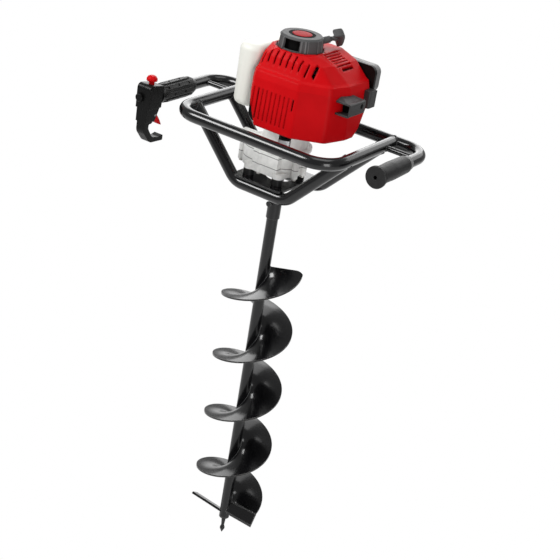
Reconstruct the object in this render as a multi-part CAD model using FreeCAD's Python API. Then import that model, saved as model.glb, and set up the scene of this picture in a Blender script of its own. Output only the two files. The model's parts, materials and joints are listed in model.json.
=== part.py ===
"""One-man petrol earth auger: drive axis on Z, tip of the pilot point at the origin, +Z up.

The operator stands on the -Y side with a hand on each grip. The crankshaft is vertical and shares
the Z axis with the gearbox output and the auger bit. The cylinder points to +X, the tank is at -X
and the carburettor at +Y. Every length is in millimetres and every angle in degrees.
"""
import FreeCAD, Part
import math
import os

V = FreeCAD.Vector
ORIGIN = V(0, 0, 0)
X_AXIS = V(1, 0, 0)
Y_AXIS = V(0, 1, 0)
Z_AXIS = V(0, 0, 1)

# ---- fits and gaps -------------------------------------------------------------------------------
RUN_FIT = 0.05          # radial clearance of a shaft in its bearing
SLIDE_GAP = 0.3         # clearance round a moving plastic piece
ROOM = 1.5              # free space round what spins inside a casing
AXIAL_GAP = 0.5         # end float of what spins
WELD_GAP = 0.05         # root gap of a welded joint

# ---- auger bit -----------------------------------------------------------------------------------
BIT_LENGTH = 800.0      # tip of the pilot point to the top of the socket
BIT_SHAFT_OD = 22.0
BIT_SHAFT_WALL = 3.0
SOCKET_OD = 26.0
SOCKET_LENGTH = 52.0
OUTPUT_SHAFT_OD = 20.0
OUTPUT_PLUG_DEPTH = 42.0
CROSS_PIN_OD = 6.0
CROSS_PIN_DROP = 20.0
CROSS_PIN_OVERHANG = 6.0
CROSS_PIN_HEAD_OD = 11.0
CROSS_PIN_HEAD = 3.0
FLIGHT_RADIUS = 75.0
FLIGHT_PITCH = 136.5
FLIGHT_THICK = 3.5
FLIGHT_FOOT_Z = 86.0
FLIGHT_FOOT_ANGLE = 2.0
FLIGHT_TOP_ANGLE = 32.0
FLIGHT_FULL_TURNS = 4
FLIGHT_CORNER = 14.0        # rounding of the outer corner of the flight's top end
BLADE_THICK = 5.0
BLADE_BEVEL = 6.0
CUTTER_LENGTH = 68.0
CUTTER_WIDTH = 30.0
CUTTER_RAKE = 60.0
FISHTAIL_LENGTH = 78.0
FISHTAIL_WIDTH = 28.0
FISHTAIL_RAKE = 34.0
FISHTAIL_Z = 50.0
FISHTAIL_RISE = 4.0
PILOT_TOP_Z = 46.0
PILOT_COLLAR = 3.0
PILOT_TOP_RADIUS = 5.0
PILOT_NECK_RADIUS = 3.2
PILOT_NECK_Z = 19.0
PILOT_BEAD_RADIUS = 5.2
PILOT_BEAD_Z = 10.0
PILOT_POINT_RADIUS = 0.8

# ---- tube frame ----------------------------------------------------------------------------------
TUBE_OD = 22.0
TUBE_WALL = 1.8
RING_RISE = 114.0             # of the frame, above the foot of the cradle
REAR_Y = 100.0
HANDLE_X = 234.0
HANDLE_BEND = 42.0
LEG_SPACING = 69.0            # from the leg of the loop to that of the handlebar
LOOP_FRONT_Y = -120.0
LOOP_BEND = 48.0
CRADLE_FOOT_X = 56.0
CRADLE_RISE = 16.0            # tube axis at the foot of the cradle, above the top of the bit
CRADLE_FRONT_Y = -58.0
CRADLE_REAR_Y = 52.0
CRADLE_BEND = 36.0
BRACE_OD = 10.0
BRACE_Y = 57.0

# ---- grips ---------------------------------------------------------------------------------------
GRIP_END_Y = -84.0
GRIP_LENGTH = 100.0
GRIP_END_WALL = 3.0
GRIP_END_HOLE = 3.5
RIGHT_GRIP_OD = 33.0
FLANGE_OD = 39.0
FLANGE_THICK = 5.0
FLANGE_RING_OD = 35.0
FLANGE_RING_THICK = 4.0
GROOVE_THICK = 4.0
GROOVE_OD = 31.0
COLLAR_LENGTH = 9.0
COLLAR_OD = 26.0
LEFT_GRIP_OD = 33.0
LEFT_SHOULDER_LENGTH = 8.0
GRIP_PAD_ROWS = 8
GRIP_PADS_PER_ROW = 3
GRIP_PAD_HEIGHT = 1.6
GRIP_PAD_WIDTH = 5.0
GRIP_PAD_SPACE = 4.0

# ---- throttle handle -----------------------------------------------------------------------------
THROTTLE_WIDTH = 30.0
THROTTLE_REACH = 41.0       # beyond the end of the grip, towards -Y
THROTTLE_TOP = 26.0         # above the tube axis
THROTTLE_CHEEK = 36.0       # below the tube axis, at the back of the housing
THROTTLE_CORNER = 9.0
TUBE_SOCKET_DEPTH = 26.0
GUARD_DROP = 87.0
GUARD_THICK = 6.0
GUARD_HOOK_Y = 58.0         # hook end, beyond the housing's front
GUARD_SIDE = 6.0            # how much narrower the guard is than the housing, each side
CHEEK_SIDE = 3.0            # and the cheeks that hold the trigger
CHEEK_LEAN = 5.0
POCKET_WIDTH = 12.0
TRIGGER_WIDTH = 9.0
TRIGGER_HUB_RADIUS = 6.5
TRIGGER_PIVOT_DROP = 34.0
TRIGGER_PIVOT_BACK = 15.0
TRIGGER_REACH = 29.0
TRIGGER_FALL = 26.0
TRIGGER_PIN_OD = 4.0
BUTTON_BACK = 20.0
STOP_BUTTON_OD = 20.0
STOP_BUTTON_HEIGHT = 9.0
STOP_STEM_OD = 10.0
STOP_TRAVEL = 3.0
STOP_STEM_LENGTH = 8.0
LOCK_BUTTON_OD = 15.0
LOCK_BUTTON_HEIGHT = 6.0
LOCK_TRAVEL = 3.0
LOCK_SHIFT = 6.0

# ---- gearbox -------------------------------------------------------------------------------------
GEAR_MODULE = 2.0
PRESSURE_ANGLE = 25.0
PINION_TEETH = 10
WHEEL_TEETH = 30
ADDENDUM = 0.8          # in modules
DEDENDUM = 1.05         # in modules
TOOTH_BACKLASH = 0.12
GEAR_FACE = 12.0
PINION_FACE = 14.0
GEAR_LEVEL_GAP = 4.0
LAYSHAFT_OD = 12.0
DRUM_SHAFT_OD = 12.0
BUSH_WALL = 2.5
BUSH_LENGTH = 5.0
OUTPUT_BEARING_WALL = 6.0
OUTPUT_BEARING_LENGTH = 16.0
PLATE_THICK = 4.0
PLATE_MARGIN = 8.0
PLATE_HALF_X = 62.0
PLATE_HOLE_GAP = 5.0
MOUNT_HEIGHT = 12.0
MOUNT_OD = 20.0
MOUNT_X = 42.0
MOUNT_INSET = 18.0
MOUNT_BOLT_OD = 6.0
CASE_WALL = 5.0
CASE_FLOOR = 8.0
CASE_CEILING = 7.0
CASE_SPLIT_LOW = 16.0
CASE_SPLIT_HIGH = 36.0
CASE_EAR_OD = 13.0
CASE_EAR_ANGLE = 20.0      # of the end bolts, off the line of the two shafts
CASE_FOOT_THICK = 10.0
CASE_BOLT_OD = 5.0
CASE_BOLT_HEAD_OD = 8.5
CASE_BOLT_HEAD = 4.0
CASE_LUG_X = -100.0
CASE_LUG_HALF_WIDTH = 20.0
CASE_FRONT_Y = -46.0
CASE_FRONT_HALF = 34.0
CLUTCH_RADIUS = 37.0
CLUTCH_WALL = 2.5
CLUTCH_HEIGHT = 22.0
CLUTCH_CASE_WALL = 4.0
CLUTCH_CASE_HEIGHT = 44.0
CLUTCH_FLANGE = 8.0
CLUTCH_FLANGE_THICK = 6.0
CLUTCH_WINDOWS = 4
CLUTCH_WINDOW_WIDTH = 22.0
SHOE_SLOT = 5.0

# ---- engine --------------------------------------------------------------------------------------
CRANK_CASE_RADIUS = 38.0
CRANK_CASE_HEIGHT = 90.0
CRANK_CASE_WALL = 5.0
CRANK_CASE_FLOOR = 9.0
CRANK_SHAFT_OD = 14.0
CRANK_WEB_RADIUS = 29.0
CRANK_WEB_THICK = 7.0
CRANK_WEB_SPACE = 12.0
CRANK_PIN_OFFSET = 16.0
CRANK_PIN_OD = 12.0
CRANK_BEARING_WALL = 6.0
CRANK_BEARING_LENGTH = 7.0
CYLINDER_END_X = 92.0
BARREL_RADIUS = 23.0
FIN_COUNT = 7
FIN_THICK = 2.5
FIN_HALF_WIDTH = 34.0
FIN_HALF_HEIGHT = 23.0
FIN_CORNER = 12.0
PORT_HALF = 13.0
FLYWHEEL_RADIUS = 39.0
FLYWHEEL_DISC = 8.0
FAN_BLADE_COUNT = 10
FAN_BLADE_HEIGHT = 11.0
FAN_BLADE_THICK = 3.0
FAN_HUB_RADIUS = 16.0
STARTER_CUP_RADIUS = 20.0
STARTER_CUP_HEIGHT = 12.0
STARTER_CUP_WALL = 2.5
FAN_CASE_WALL = 2.5
FAN_CASE_FLANGE = 3.0
COIL_LENGTH = 22.0
COIL_WIDTH = 26.0
COIL_HEIGHT = 20.0
MUFFLER_X = 42.0
MUFFLER_LENGTH = 44.0
MUFFLER_DEPTH = 18.0
MUFFLER_HEIGHT = 40.0
MUFFLER_CORNER = 8.0
MUFFLER_GAP = 5.0
PLUG_HEX = 16.0
PLUG_HEX_LENGTH = 8.0
PLUG_TIP_OD = 9.0
PLUG_TIP_LENGTH = 16.0
PLUG_BOOT_WALL = 2.4

# ---- red engine cover ----------------------------------------------------------------------------
COVER_LEFT_X = -45.0
COVER_FACET_X = 54.0
COVER_CORNER_X = 106.0
COVER_RIGHT_X = 118.0
COVER_FRONT_Y = -78.0
COVER_CORNER_Y = -46.0
COVER_RIGHT_Y = 2.0
COVER_REAR_Y = 74.0
COVER_FOOT_RISE = 5.0         # above the crankcase's floor
COVER_SHOULDER_DROP = 3.0     # below the crankcase's top
COVER_BAND_HEIGHT = 16.0
COVER_DECK_RISE = 35.0
COVER_WALL = 2.5
COVER_EDGE = 14.0
COVER_REAR_EDGE = 8.0
COVER_DRAFT = 5.0
COVER_SHOULDER_LIFT = 4.0
COVER_CREST_IN = 10.0
COVER_HOLE_GAP = 4.0
COVER_DECK_FRONT_Y = -46.0
COVER_DECK_RIGHT_X = 46.0
COVER_DECK_CORNER = 26.0
COVER_LEFT_CORNER = 8.0       # of the front wall, where it turns back along the left side
COVER_BROW_OUT = 0.55         # how far out, and how far up, the deck bulges
COVER_BROW_UP = 0.68
COVER_LEAN = 27.0             # of the right wall's rear edge, forward over its height
COVER_LEAN_RISE = 64.0
COVER_TOE_LENGTH = 18.0       # rounded lower end of that edge
COVER_TOE_RISE = 13.0
COVER_TOE_RADIUS = 14.0
COVER_CUT_RISE = 56.0         # slanting lower left corner of the front wall
COVER_CUT_RUN = 24.0
DECK_HOLE_RADIUS = 42.0
DECK_SCALLOP_COUNT = 12
DECK_SCALLOP_RADIUS = 2.5
LOUVRE_COUNT = 10
LOUVRE_WIDTH = 2.6
LOUVRE_DEPTH = 1.2
LOUVRE_PITCH = 9.0
LOUVRE_MARGIN = 6.0
LOUVRE_FOOT = 12.0            # above the open edge of the hood
LOUVRE_HEAD = 16.0            # below the shoulder
SHORT_LOUVRE_LENGTH = 20.0
DECK_SLOT_COUNT = 9
DECK_SLOT_WIDTH = 3.0
DECK_SLOT_LENGTH = 12.0
DECK_SLOT_GROWTH = 0.3
DECK_SLOT_PITCH = 12.5
DECK_SLOT_MARGIN = 4.0
SIDE_SLOT_COUNT = 7
SIDE_SLOT_WIDTH = 2.4
SIDE_SLOT_PITCH = 5.9
SIDE_SLOT_START_Y = 0.0
SIDE_SLOT_END_Y = 44.0
WIDE_SLOT = 2.0               # times the width of the others, for the lowest slot of a row

# ---- recoil starter ------------------------------------------------------------------------------
STARTER_RADIUS = 38.0
STARTER_BASE_RADIUS = 40.0
STARTER_HEIGHT = 23.0         # above the deck
STARTER_WALL = 3.0
STARTER_EDGE = 3.0
STARTER_FLANGE_RADIUS = 44.0
STARTER_WINDOWS = 3
STARTER_WINDOW_ARC = 46.0
STARTER_FIRST_WINDOW = -84.0
STARTER_WINDOW_STEP = 72.0
STARTER_WINDOW_MARGIN = 4.0
STARTER_POST_RADIUS = 6.0
BADGE_RADIUS = 24.0
BADGE_THICK = 1.5
PULLEY_RADIUS = 27.0
PULLEY_HEIGHT = 9.0
PULLEY_DROP = 8.0           # below the roof of the starter
PULLEY_RIM = 2.0
ROPE_OD = 4.0
ROPE_ANGLE = 50.0
ROPE_RISE = 15.5
ROPE_DIP = 3.0
GUIDE_OD = 12.0
GUIDE_LENGTH = 15.0
PULL_HUB_OD = 12.0
PULL_HUB_LENGTH = 17.0
PULL_BAR_LENGTH = 33.0
PULL_BAR_DEPTH = 10.0
PULL_BAR_WIDTH = 12.0
PULL_BAR_HOOK = 8.0
PULL_TILT = 40.0

# ---- fuel tank -----------------------------------------------------------------------------------
TANK_LEFT_X = -94.0
TANK_RIGHT_X = -47.0
TANK_FRONT_Y = -58.0
TANK_REAR_Y = 64.0
TANK_RISE = 21.0              # above the crankcase's floor
TANK_DROP = 6.0               # below the deck
TANK_EDGE = 20.0
TANK_WALL = 2.5
FILLER_Y = 24.0
FILLER_DROP = 32.0
FILLER_OD = 26.0
FILLER_HEIGHT = 8.0
CAP_OD = 36.0
CAP_HEIGHT = 15.0
CAP_GRIPS = 10
CAP_GRIP_RADIUS = 2.0
BRACKET_THICK = 3.0
BRACKET_HALF_WIDTH = 24.0

# ---- carburettor and air filter ------------------------------------------------------------------
CARB_X = 62.0
CARB_WIDTH = 34.0
CARB_HEIGHT = 32.0
CARB_LENGTH = 39.0
CARB_FLANGE = 8.0
CARB_BOWL = 6.0
INTAKE_RADIUS = 8.0
FILTER_LEFT_X = 8.0
FILTER_RIGHT_X = 116.0
FILTER_FOOT = 6.0             # above the cylinder axis
FILTER_HEIGHT = 50.0
FILTER_BASE = 6.0
FILTER_DEPTH = 20.0
FILTER_WALL = 2.5
FILTER_CORNER = 14.0
SNORKEL_LENGTH = 30.0
SNORKEL_OUT = 10.0
SNORKEL_DEPTH = 22.0
SNORKEL_HEIGHT = 30.0
SNORKEL_DROP = 12.0           # below the cylinder axis
CHOKE_X = 24.0
CHOKE_OD = 6.0
CHOKE_ARM = 22.0
CHOKE_THICK = 3.0

# ---- plug cover ----------------------------------------------------------------------------------
PLUG_COVER_END_X = 136.0
PLUG_COVER_FRONT_Y = -30.0
PLUG_COVER_REAR_Y = 20.0
PLUG_COVER_DROP = 11.0        # below the cylinder axis
PLUG_COVER_HEIGHT = 24.0
PLUG_COVER_GABLE = 13.0
PLUG_COVER_WALL = 3.0
PLUG_COVER_HOLE_OD = 9.0

# ---- worked out ----------------------------------------------------------------------------------
TUBE_R = TUBE_OD / 2
SOCKET_Z = BIT_LENGTH - SOCKET_LENGTH
CRADLE_Z = BIT_LENGTH + CRADLE_RISE
RING_Z = CRADLE_Z + RING_RISE
LOOP_X = HANDLE_X - LEG_SPACING
PLATE_Z = CRADLE_Z + TUBE_R
CASE_Z = PLATE_Z + PLATE_THICK + MOUNT_HEIGHT
GEAR_DISTANCE = GEAR_MODULE * (PINION_TEETH + WHEEL_TEETH) / 2
WHEEL_TIP = GEAR_MODULE * (WHEEL_TEETH / 2 + ADDENDUM)
CASE_INNER = WHEEL_TIP + ROOM
CASE_OUTER = CASE_INNER + CASE_WALL
LOW_GEAR_Z = CASE_Z + CASE_FLOOR + AXIAL_GAP + (PINION_FACE - GEAR_FACE) / 2
HIGH_GEAR_Z = LOW_GEAR_Z + GEAR_FACE + GEAR_LEVEL_GAP
CASE_CEILING_Z = HIGH_GEAR_Z + GEAR_FACE + (PINION_FACE - GEAR_FACE) / 2 + AXIAL_GAP
CASE_TOP_Z = CASE_CEILING_Z + CASE_CEILING
DRUM_Z = CASE_TOP_Z + AXIAL_GAP
CRANK_CASE_Z = CASE_TOP_Z + CLUTCH_CASE_HEIGHT
CRANK_CASE_TOP_Z = CRANK_CASE_Z + CRANK_CASE_HEIGHT
BORE_Z = CRANK_CASE_TOP_Z - FIN_HALF_HEIGHT
COVER_BOTTOM_Z = CRANK_CASE_Z + COVER_FOOT_RISE
COVER_SHOULDER_Z = CRANK_CASE_TOP_Z - COVER_SHOULDER_DROP
COVER_CREST_Z = COVER_SHOULDER_Z + COVER_BAND_HEIGHT
COVER_TOP_Z = COVER_CREST_Z + COVER_DECK_RISE
LOUVRE_BOTTOM_Z = COVER_BOTTOM_Z + LOUVRE_FOOT
LOUVRE_TOP_Z = COVER_SHOULDER_Z - LOUVRE_HEAD
STARTER_TOP_Z = COVER_TOP_Z + STARTER_HEIGHT
TANK_BOTTOM_Z = CRANK_CASE_Z + TANK_RISE
TANK_TOP_Z = COVER_TOP_Z - TANK_DROP
FILTER_BOTTOM_Z = BORE_Z + FILTER_FOOT
FILTER_TOP_Z = FILTER_BOTTOM_Z + FILTER_HEIGHT
SNORKEL_Z = BORE_Z - SNORKEL_DROP
PLUG_COVER_BOTTOM_Z = BORE_Z - PLUG_COVER_DROP
PLUG_COVER_EAVE_Z = PLUG_COVER_BOTTOM_Z + PLUG_COVER_HEIGHT
PLUG_COVER_PEAK_Z = PLUG_COVER_EAVE_Z + PLUG_COVER_GABLE
FLYWHEEL_Z = CRANK_CASE_TOP_Z + FAN_CASE_FLANGE + AXIAL_GAP
FAN_CASE_RADIUS = FLYWHEEL_RADIUS + ROOM + FAN_CASE_WALL
DECK_UNDER_Z = COVER_TOP_Z - COVER_WALL
PULLEY_TOP_Z = STARTER_TOP_Z - BADGE_THICK - STARTER_WALL - PULLEY_DROP
THROTTLE_FRONT_Y = GRIP_END_Y - THROTTLE_REACH
TRIGGER_Y = GRIP_END_Y - TRIGGER_PIVOT_BACK
TRIGGER_Z = RING_Z - TRIGGER_PIVOT_DROP
GUIDE_END = STARTER_RADIUS + GUIDE_LENGTH
CARB_REAR_Y = FIN_HALF_WIDTH + CARB_LENGTH


# ---- shared shapes -------------------------------------------------------------------------------
def cylinder(radius, z0, z1, x=0.0, y=0.0):
    return Part.makeCylinder(radius, z1 - z0, V(x, y, z0))


def ring(outer, inner, z0, z1, x=0.0, y=0.0):
    return cylinder(outer, z0, z1, x, y).cut(cylinder(inner, z0, z1, x, y))


def rod(radius, start, end):
    return Part.makeCylinder(radius, (end - start).Length, start, end - start)


def block(x0, x1, y0, y1, z0, z1):
    return Part.makeBox(x1 - x0, y1 - y0, z1 - z0, V(x0, y0, z0))


def fuse(shapes):
    whole = shapes[0]
    for shape in shapes[1:]:
        whole = whole.fuse(shape)
    return whole.removeSplitter()


def cut_all(shape, tools):
    for tool in tools:
        shape = shape.cut(tool)
    return shape


def turned(profile):
    """Solid of revolution about Z from (radius, z) points."""
    points = [V(radius, 0, z) for radius, z in profile]
    face = Part.Face(Part.makePolygon(points + points[:1]))
    return face.revolve(ORIGIN, Z_AXIS, 360)


def bent_wire(points, radii, closed=False):
    """Straight runs from point to point, each inner corner rounded by a tangent arc."""
    count = len(points)
    inner = range(count) if closed else range(1, count - 1)
    turns = []
    for i in inner:
        corner = points[i]
        back = (points[i - 1] - corner).normalize()
        ahead = (points[(i + 1) % count] - corner).normalize()
        if radii[i] == 0:
            turns.append((corner, None, corner))
            continue
        half = back.getAngle(ahead) / 2
        reach = radii[i] / math.tan(half)
        towards = (back + ahead).normalize()
        middle = corner + towards * (radii[i] / math.sin(half) - radii[i])
        turns.append((corner + back * reach, middle, corner + ahead * reach))
    place = turns[-1][2] if closed else points[0]
    edges = []
    for start, middle, end in turns:
        if (start - place).Length > 1e-6:
            edges.append(Part.makeLine(place, start))
        if middle:
            edges.append(Part.Arc(start, middle, end).toShape())
        place = end
    if not closed:
        edges.append(Part.makeLine(place, points[-1]))
    return Part.Wire(edges)


def plate(points, radii, thickness):
    """Flat outline with rounded corners, thickened along a vector."""
    return Part.Face(bent_wire(points, radii, closed=True)).extrude(thickness)


def upright(corners, radii, z0, z1):
    return plate([V(x, y, z0) for x, y in corners], radii, V(0, 0, z1 - z0))


def swept(path, radius):
    start = path.OrderedVertexes[0].Point
    edge = path.OrderedEdges[0]
    along = edge.tangentAt(edge.FirstParameter)
    if edge.Vertexes[0].Point.distanceToPoint(start) > 1e-6:
        along = along * -1
    circle = Part.Wire(Part.makeCircle(radius, start, along))
    return path.makePipeShell([circle], True, False)


def tube_path(points, bend):
    return bent_wire(points, [bend] * len(points))


def keep_largest(shape):
    return max(shape.Solids, key=lambda solid: solid.Volume)


def save(name, shape):
    if len(shape.Solids) == 1:
        shape = shape.Solids[0]
    shape.exportStep("parts/" + name + ".step")


# ---- tube frame ----------------------------------------------------------------------------------
def handlebar_path():
    left_end = THROTTLE_FRONT_Y + THROTTLE_REACH - TUBE_SOCKET_DEPTH
    right_end = GRIP_END_Y + GRIP_END_WALL
    return tube_path(
        [
            V(-HANDLE_X, left_end, RING_Z),
            V(-HANDLE_X, REAR_Y, RING_Z),
            V(HANDLE_X, REAR_Y, RING_Z),
            V(HANDLE_X, right_end, RING_Z),
        ],
        HANDLE_BEND,
    )


def loop_path():
    return tube_path(
        [
            V(-LOOP_X, REAR_Y, RING_Z),
            V(-LOOP_X, LOOP_FRONT_Y, RING_Z),
            V(LOOP_X, LOOP_FRONT_Y, RING_Z),
            V(LOOP_X, REAR_Y, RING_Z),
        ],
        LOOP_BEND,
    )


def cradle_path(y):
    return tube_path(
        [
            V(-LOOP_X, y, RING_Z),
            V(-CRADLE_FOOT_X, y, CRADLE_Z),
            V(CRADLE_FOOT_X, y, CRADLE_Z),
            V(LOOP_X, y, RING_Z),
        ],
        CRADLE_BEND,
    )


def make_frame():
    handlebar_outer = swept(handlebar_path(), TUBE_R)
    loop_outer = swept(loop_path(), TUBE_R)
    handlebar = handlebar_outer.cut(swept(handlebar_path(), TUBE_R - TUBE_WALL))
    handlebar_seat = swept(handlebar_path(), TUBE_R + WELD_GAP)
    loop_seat = swept(loop_path(), TUBE_R + WELD_GAP)
    loop = loop_outer.cut(swept(loop_path(), TUBE_R - TUBE_WALL)).cut(handlebar_seat)
    save("handlebar_tube", handlebar)
    save("front_loop_tube", keep_largest(loop))
    cradles = []
    for y in (CRADLE_FRONT_Y, CRADLE_REAR_Y):
        path = cradle_path(y)
        cradle = swept(path, TUBE_R).cut(swept(path, TUBE_R - TUBE_WALL))
        cradles.append(keep_largest(cradle.cut(loop_seat)))
    save("cradle_tubes", Part.makeCompound(cradles))
    braces = []
    for side in (-1, 1):
        start = V(side * LOOP_X, BRACE_Y, RING_Z)
        end = V(side * HANDLE_X, BRACE_Y, RING_Z)
        brace = rod(BRACE_OD / 2, start, end)
        braces.append(keep_largest(brace.cut(handlebar_seat).cut(loop_seat)))
    save("handle_braces", Part.makeCompound(braces))


# ---- grips ---------------------------------------------------------------------------------------
def along_grip(shape, x):
    """Turns a piece built about Z so that Z runs along +Y, and carries it to the tube axis at x."""
    shape.rotate(ORIGIN, X_AXIS, -90)
    shape.translate(V(x, GRIP_END_Y, RING_Z))
    return shape


def make_right_grip():
    body = RIGHT_GRIP_OD / 2
    groove_start = FLANGE_THICK
    ring_start = groove_start + GROOVE_THICK
    ring_end = ring_start + FLANGE_RING_THICK
    profile = [
        (GRIP_END_HOLE, 0),
        (FLANGE_OD / 2 - 1, 0),
        (FLANGE_OD / 2, 1),
        (FLANGE_OD / 2, FLANGE_THICK),
        (GROOVE_OD / 2, groove_start),
        (GROOVE_OD / 2, ring_start),
        (FLANGE_RING_OD / 2, ring_start),
        (FLANGE_RING_OD / 2, ring_end),
        (body - 1, ring_end + 2),
        (body, GRIP_LENGTH * 0.5),
        (body - 1, GRIP_LENGTH - 3),
        (body - 3, GRIP_LENGTH),
        (TUBE_R, GRIP_LENGTH),
        (TUBE_R, GRIP_END_WALL),
        (GRIP_END_HOLE, GRIP_END_WALL),
    ]
    save("right_grip", along_grip(turned(profile), HANDLE_X))
    collar = ring(COLLAR_OD / 2, TUBE_R, GRIP_LENGTH, GRIP_LENGTH + COLLAR_LENGTH)
    save("right_grip_collar", along_grip(collar, HANDLE_X))


def make_left_grip():
    body = LEFT_GRIP_OD / 2
    sleeve = turned(
        [
            (TUBE_R, 0),
            (body, 0),
            (body, GRIP_LENGTH - LEFT_SHOULDER_LENGTH),
            (body - 3, GRIP_LENGTH),
            (TUBE_R, GRIP_LENGTH),
        ]
    )
    run = GRIP_LENGTH - LEFT_SHOULDER_LENGTH - GRIP_PAD_SPACE
    step = run / GRIP_PADS_PER_ROW
    pads = []
    for row in range(GRIP_PAD_ROWS):
        shift = step / 2 if row % 2 else 0
        for i in range(GRIP_PADS_PER_ROW):
            start = GRIP_PAD_SPACE + shift + i * step
            end = min(start + step - GRIP_PAD_SPACE, run)
            pad = block(
                body - GRIP_PAD_HEIGHT,
                body + GRIP_PAD_HEIGHT,
                -GRIP_PAD_WIDTH / 2,
                GRIP_PAD_WIDTH / 2,
                start,
                end,
            )
            pad.rotate(ORIGIN, Z_AXIS, 360 * row / GRIP_PAD_ROWS)
            pads.append(pad)
    save("left_grip", along_grip(fuse([sleeve] + pads), -HANDLE_X))


# ---- throttle handle -----------------------------------------------------------------------------
def throttle_profile(x):
    """Side view of the housing with its hooked finger guard, in the plane at x."""
    front = THROTTLE_FRONT_Y
    back = GRIP_END_Y
    top = RING_Z + THROTTLE_TOP
    cheek = RING_Z - THROTTLE_CHEEK
    foot = RING_Z - GUARD_DROP
    hook_y = front + GUARD_HOOK_Y
    points = [
        V(x, front, top),
        V(x, front, foot + 24),
        V(x, front + 20, foot),
        V(x, hook_y, foot - 2),
        V(x, hook_y, foot + GUARD_THICK + 3),
        V(x, hook_y - 12, foot + GUARD_THICK),
        V(x, front + 20 + GUARD_THICK, foot + GUARD_THICK + 4),
        V(x, front + GUARD_THICK + 6, foot + 30),
        V(x, front + GUARD_THICK + 8, cheek - 14),
        V(x, front + 22, cheek - 14),
        V(x, back - CHEEK_LEAN, cheek + 14),
        V(x, back, top - 6),
    ]
    radii = [THROTTLE_CORNER, 16, 16, 2, 2, 4, 12, 10, 2, 8, 8, 4]
    return points, radii


def tube_socket():
    grip_y = GRIP_END_Y
    return rod(TUBE_R, V(-HANDLE_X, grip_y - TUBE_SOCKET_DEPTH, RING_Z), V(-HANDLE_X, grip_y, RING_Z))


def trigger_pin_end(side):
    return V(-HANDLE_X + side * (THROTTLE_WIDTH / 2 - THROTTLE_CORNER / 3), TRIGGER_Y, TRIGGER_Z)


def make_throttle_housing():
    points, radii = throttle_profile(-HANDLE_X - THROTTLE_WIDTH / 2)
    whole = plate(points, radii, V(THROTTLE_WIDTH, 0, 0))
    foot = RING_Z - GUARD_DROP - GUARD_THICK
    guard_top = RING_Z - THROTTLE_CHEEK - THROTTLE_CORNER
    cheek_top = RING_Z - TUBE_R - THROTTLE_CORNER
    for side in (-1, 1):
        outer = -HANDLE_X + side * THROTTLE_WIDTH / 2
        for narrowed, high in ((CHEEK_SIDE, cheek_top), (GUARD_SIDE, guard_top)):
            inner = outer - side * narrowed
            x0, x1 = min(outer, inner), max(outer, inner)
            whole = whole.cut(block(x0, x1, THROTTLE_FRONT_Y - 1, GRIP_END_Y + GRIP_LENGTH, foot, high))
    whole = whole.cut(tube_socket())
    half = POCKET_WIDTH / 2
    pocket = block(
        -HANDLE_X - half,
        -HANDLE_X + half,
        TRIGGER_Y - TRIGGER_HUB_RADIUS - ROOM,
        GRIP_END_Y + 1,
        RING_Z - THROTTLE_CHEEK - 20,
        RING_Z - TUBE_R - 2.5,
    )
    whole = whole.cut(pocket)
    pin = rod(TRIGGER_PIN_OD / 2, trigger_pin_end(-1), trigger_pin_end(1))
    whole = whole.cut(pin)
    button_y = GRIP_END_Y - BUTTON_BACK
    top = RING_Z + THROTTLE_TOP
    well = cylinder(
        STOP_STEM_OD / 2 + SLIDE_GAP,
        top - STOP_STEM_LENGTH - STOP_TRAVEL - SLIDE_GAP,
        top,
        -HANDLE_X,
        button_y,
    )
    lock_well = rod(
        LOCK_BUTTON_OD / 2 + SLIDE_GAP,
        V(-HANDLE_X - LOCK_SHIFT, THROTTLE_FRONT_Y - 1, RING_Z),
        V(-HANDLE_X - LOCK_SHIFT, THROTTLE_FRONT_Y + LOCK_TRAVEL + SLIDE_GAP + 2, RING_Z),
    )
    whole = whole.cut(well).cut(lock_well)
    far = THROTTLE_WIDTH
    x = -HANDLE_X
    left_side = block(x - far, x, THROTTLE_FRONT_Y - 5, GRIP_END_Y + 80, RING_Z - 150, RING_Z + 60)
    save("throttle_housing_outer", whole.common(left_side))
    save("throttle_housing_inner", whole.cut(left_side))
    save("trigger_pin", pin)


def make_trigger():
    half = TRIGGER_WIDTH / 2
    x = -HANDLE_X - half
    hub = V(x, TRIGGER_Y, TRIGGER_Z)
    tip = V(x, TRIGGER_Y + TRIGGER_REACH, TRIGGER_Z - TRIGGER_FALL)
    middle_top = V(x, TRIGGER_Y + TRIGGER_REACH * 0.55, TRIGGER_Z - TRIGGER_FALL * 0.25)
    middle_low = V(x, TRIGGER_Y + TRIGGER_REACH * 0.45, TRIGGER_Z - TRIGGER_FALL * 0.72)
    radius = TRIGGER_HUB_RADIUS
    hub_top = hub + V(0, 1, radius)
    hub_low = hub + V(0, 1, -radius)
    edges = [
        Part.Arc(hub_top, middle_top, tip).toShape(),
        Part.Arc(tip, middle_low, hub_low).toShape(),
        Part.Arc(hub_low, hub - V(0, radius, 0), hub_top).toShape(),
    ]
    body = Part.Face(Part.Wire(edges)).extrude(V(TRIGGER_WIDTH, 0, 0))
    bore = TRIGGER_PIN_OD / 2 + RUN_FIT
    body = body.cut(rod(bore, hub, hub + V(TRIGGER_WIDTH, 0, 0)))
    save("throttle_trigger", body)


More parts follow.
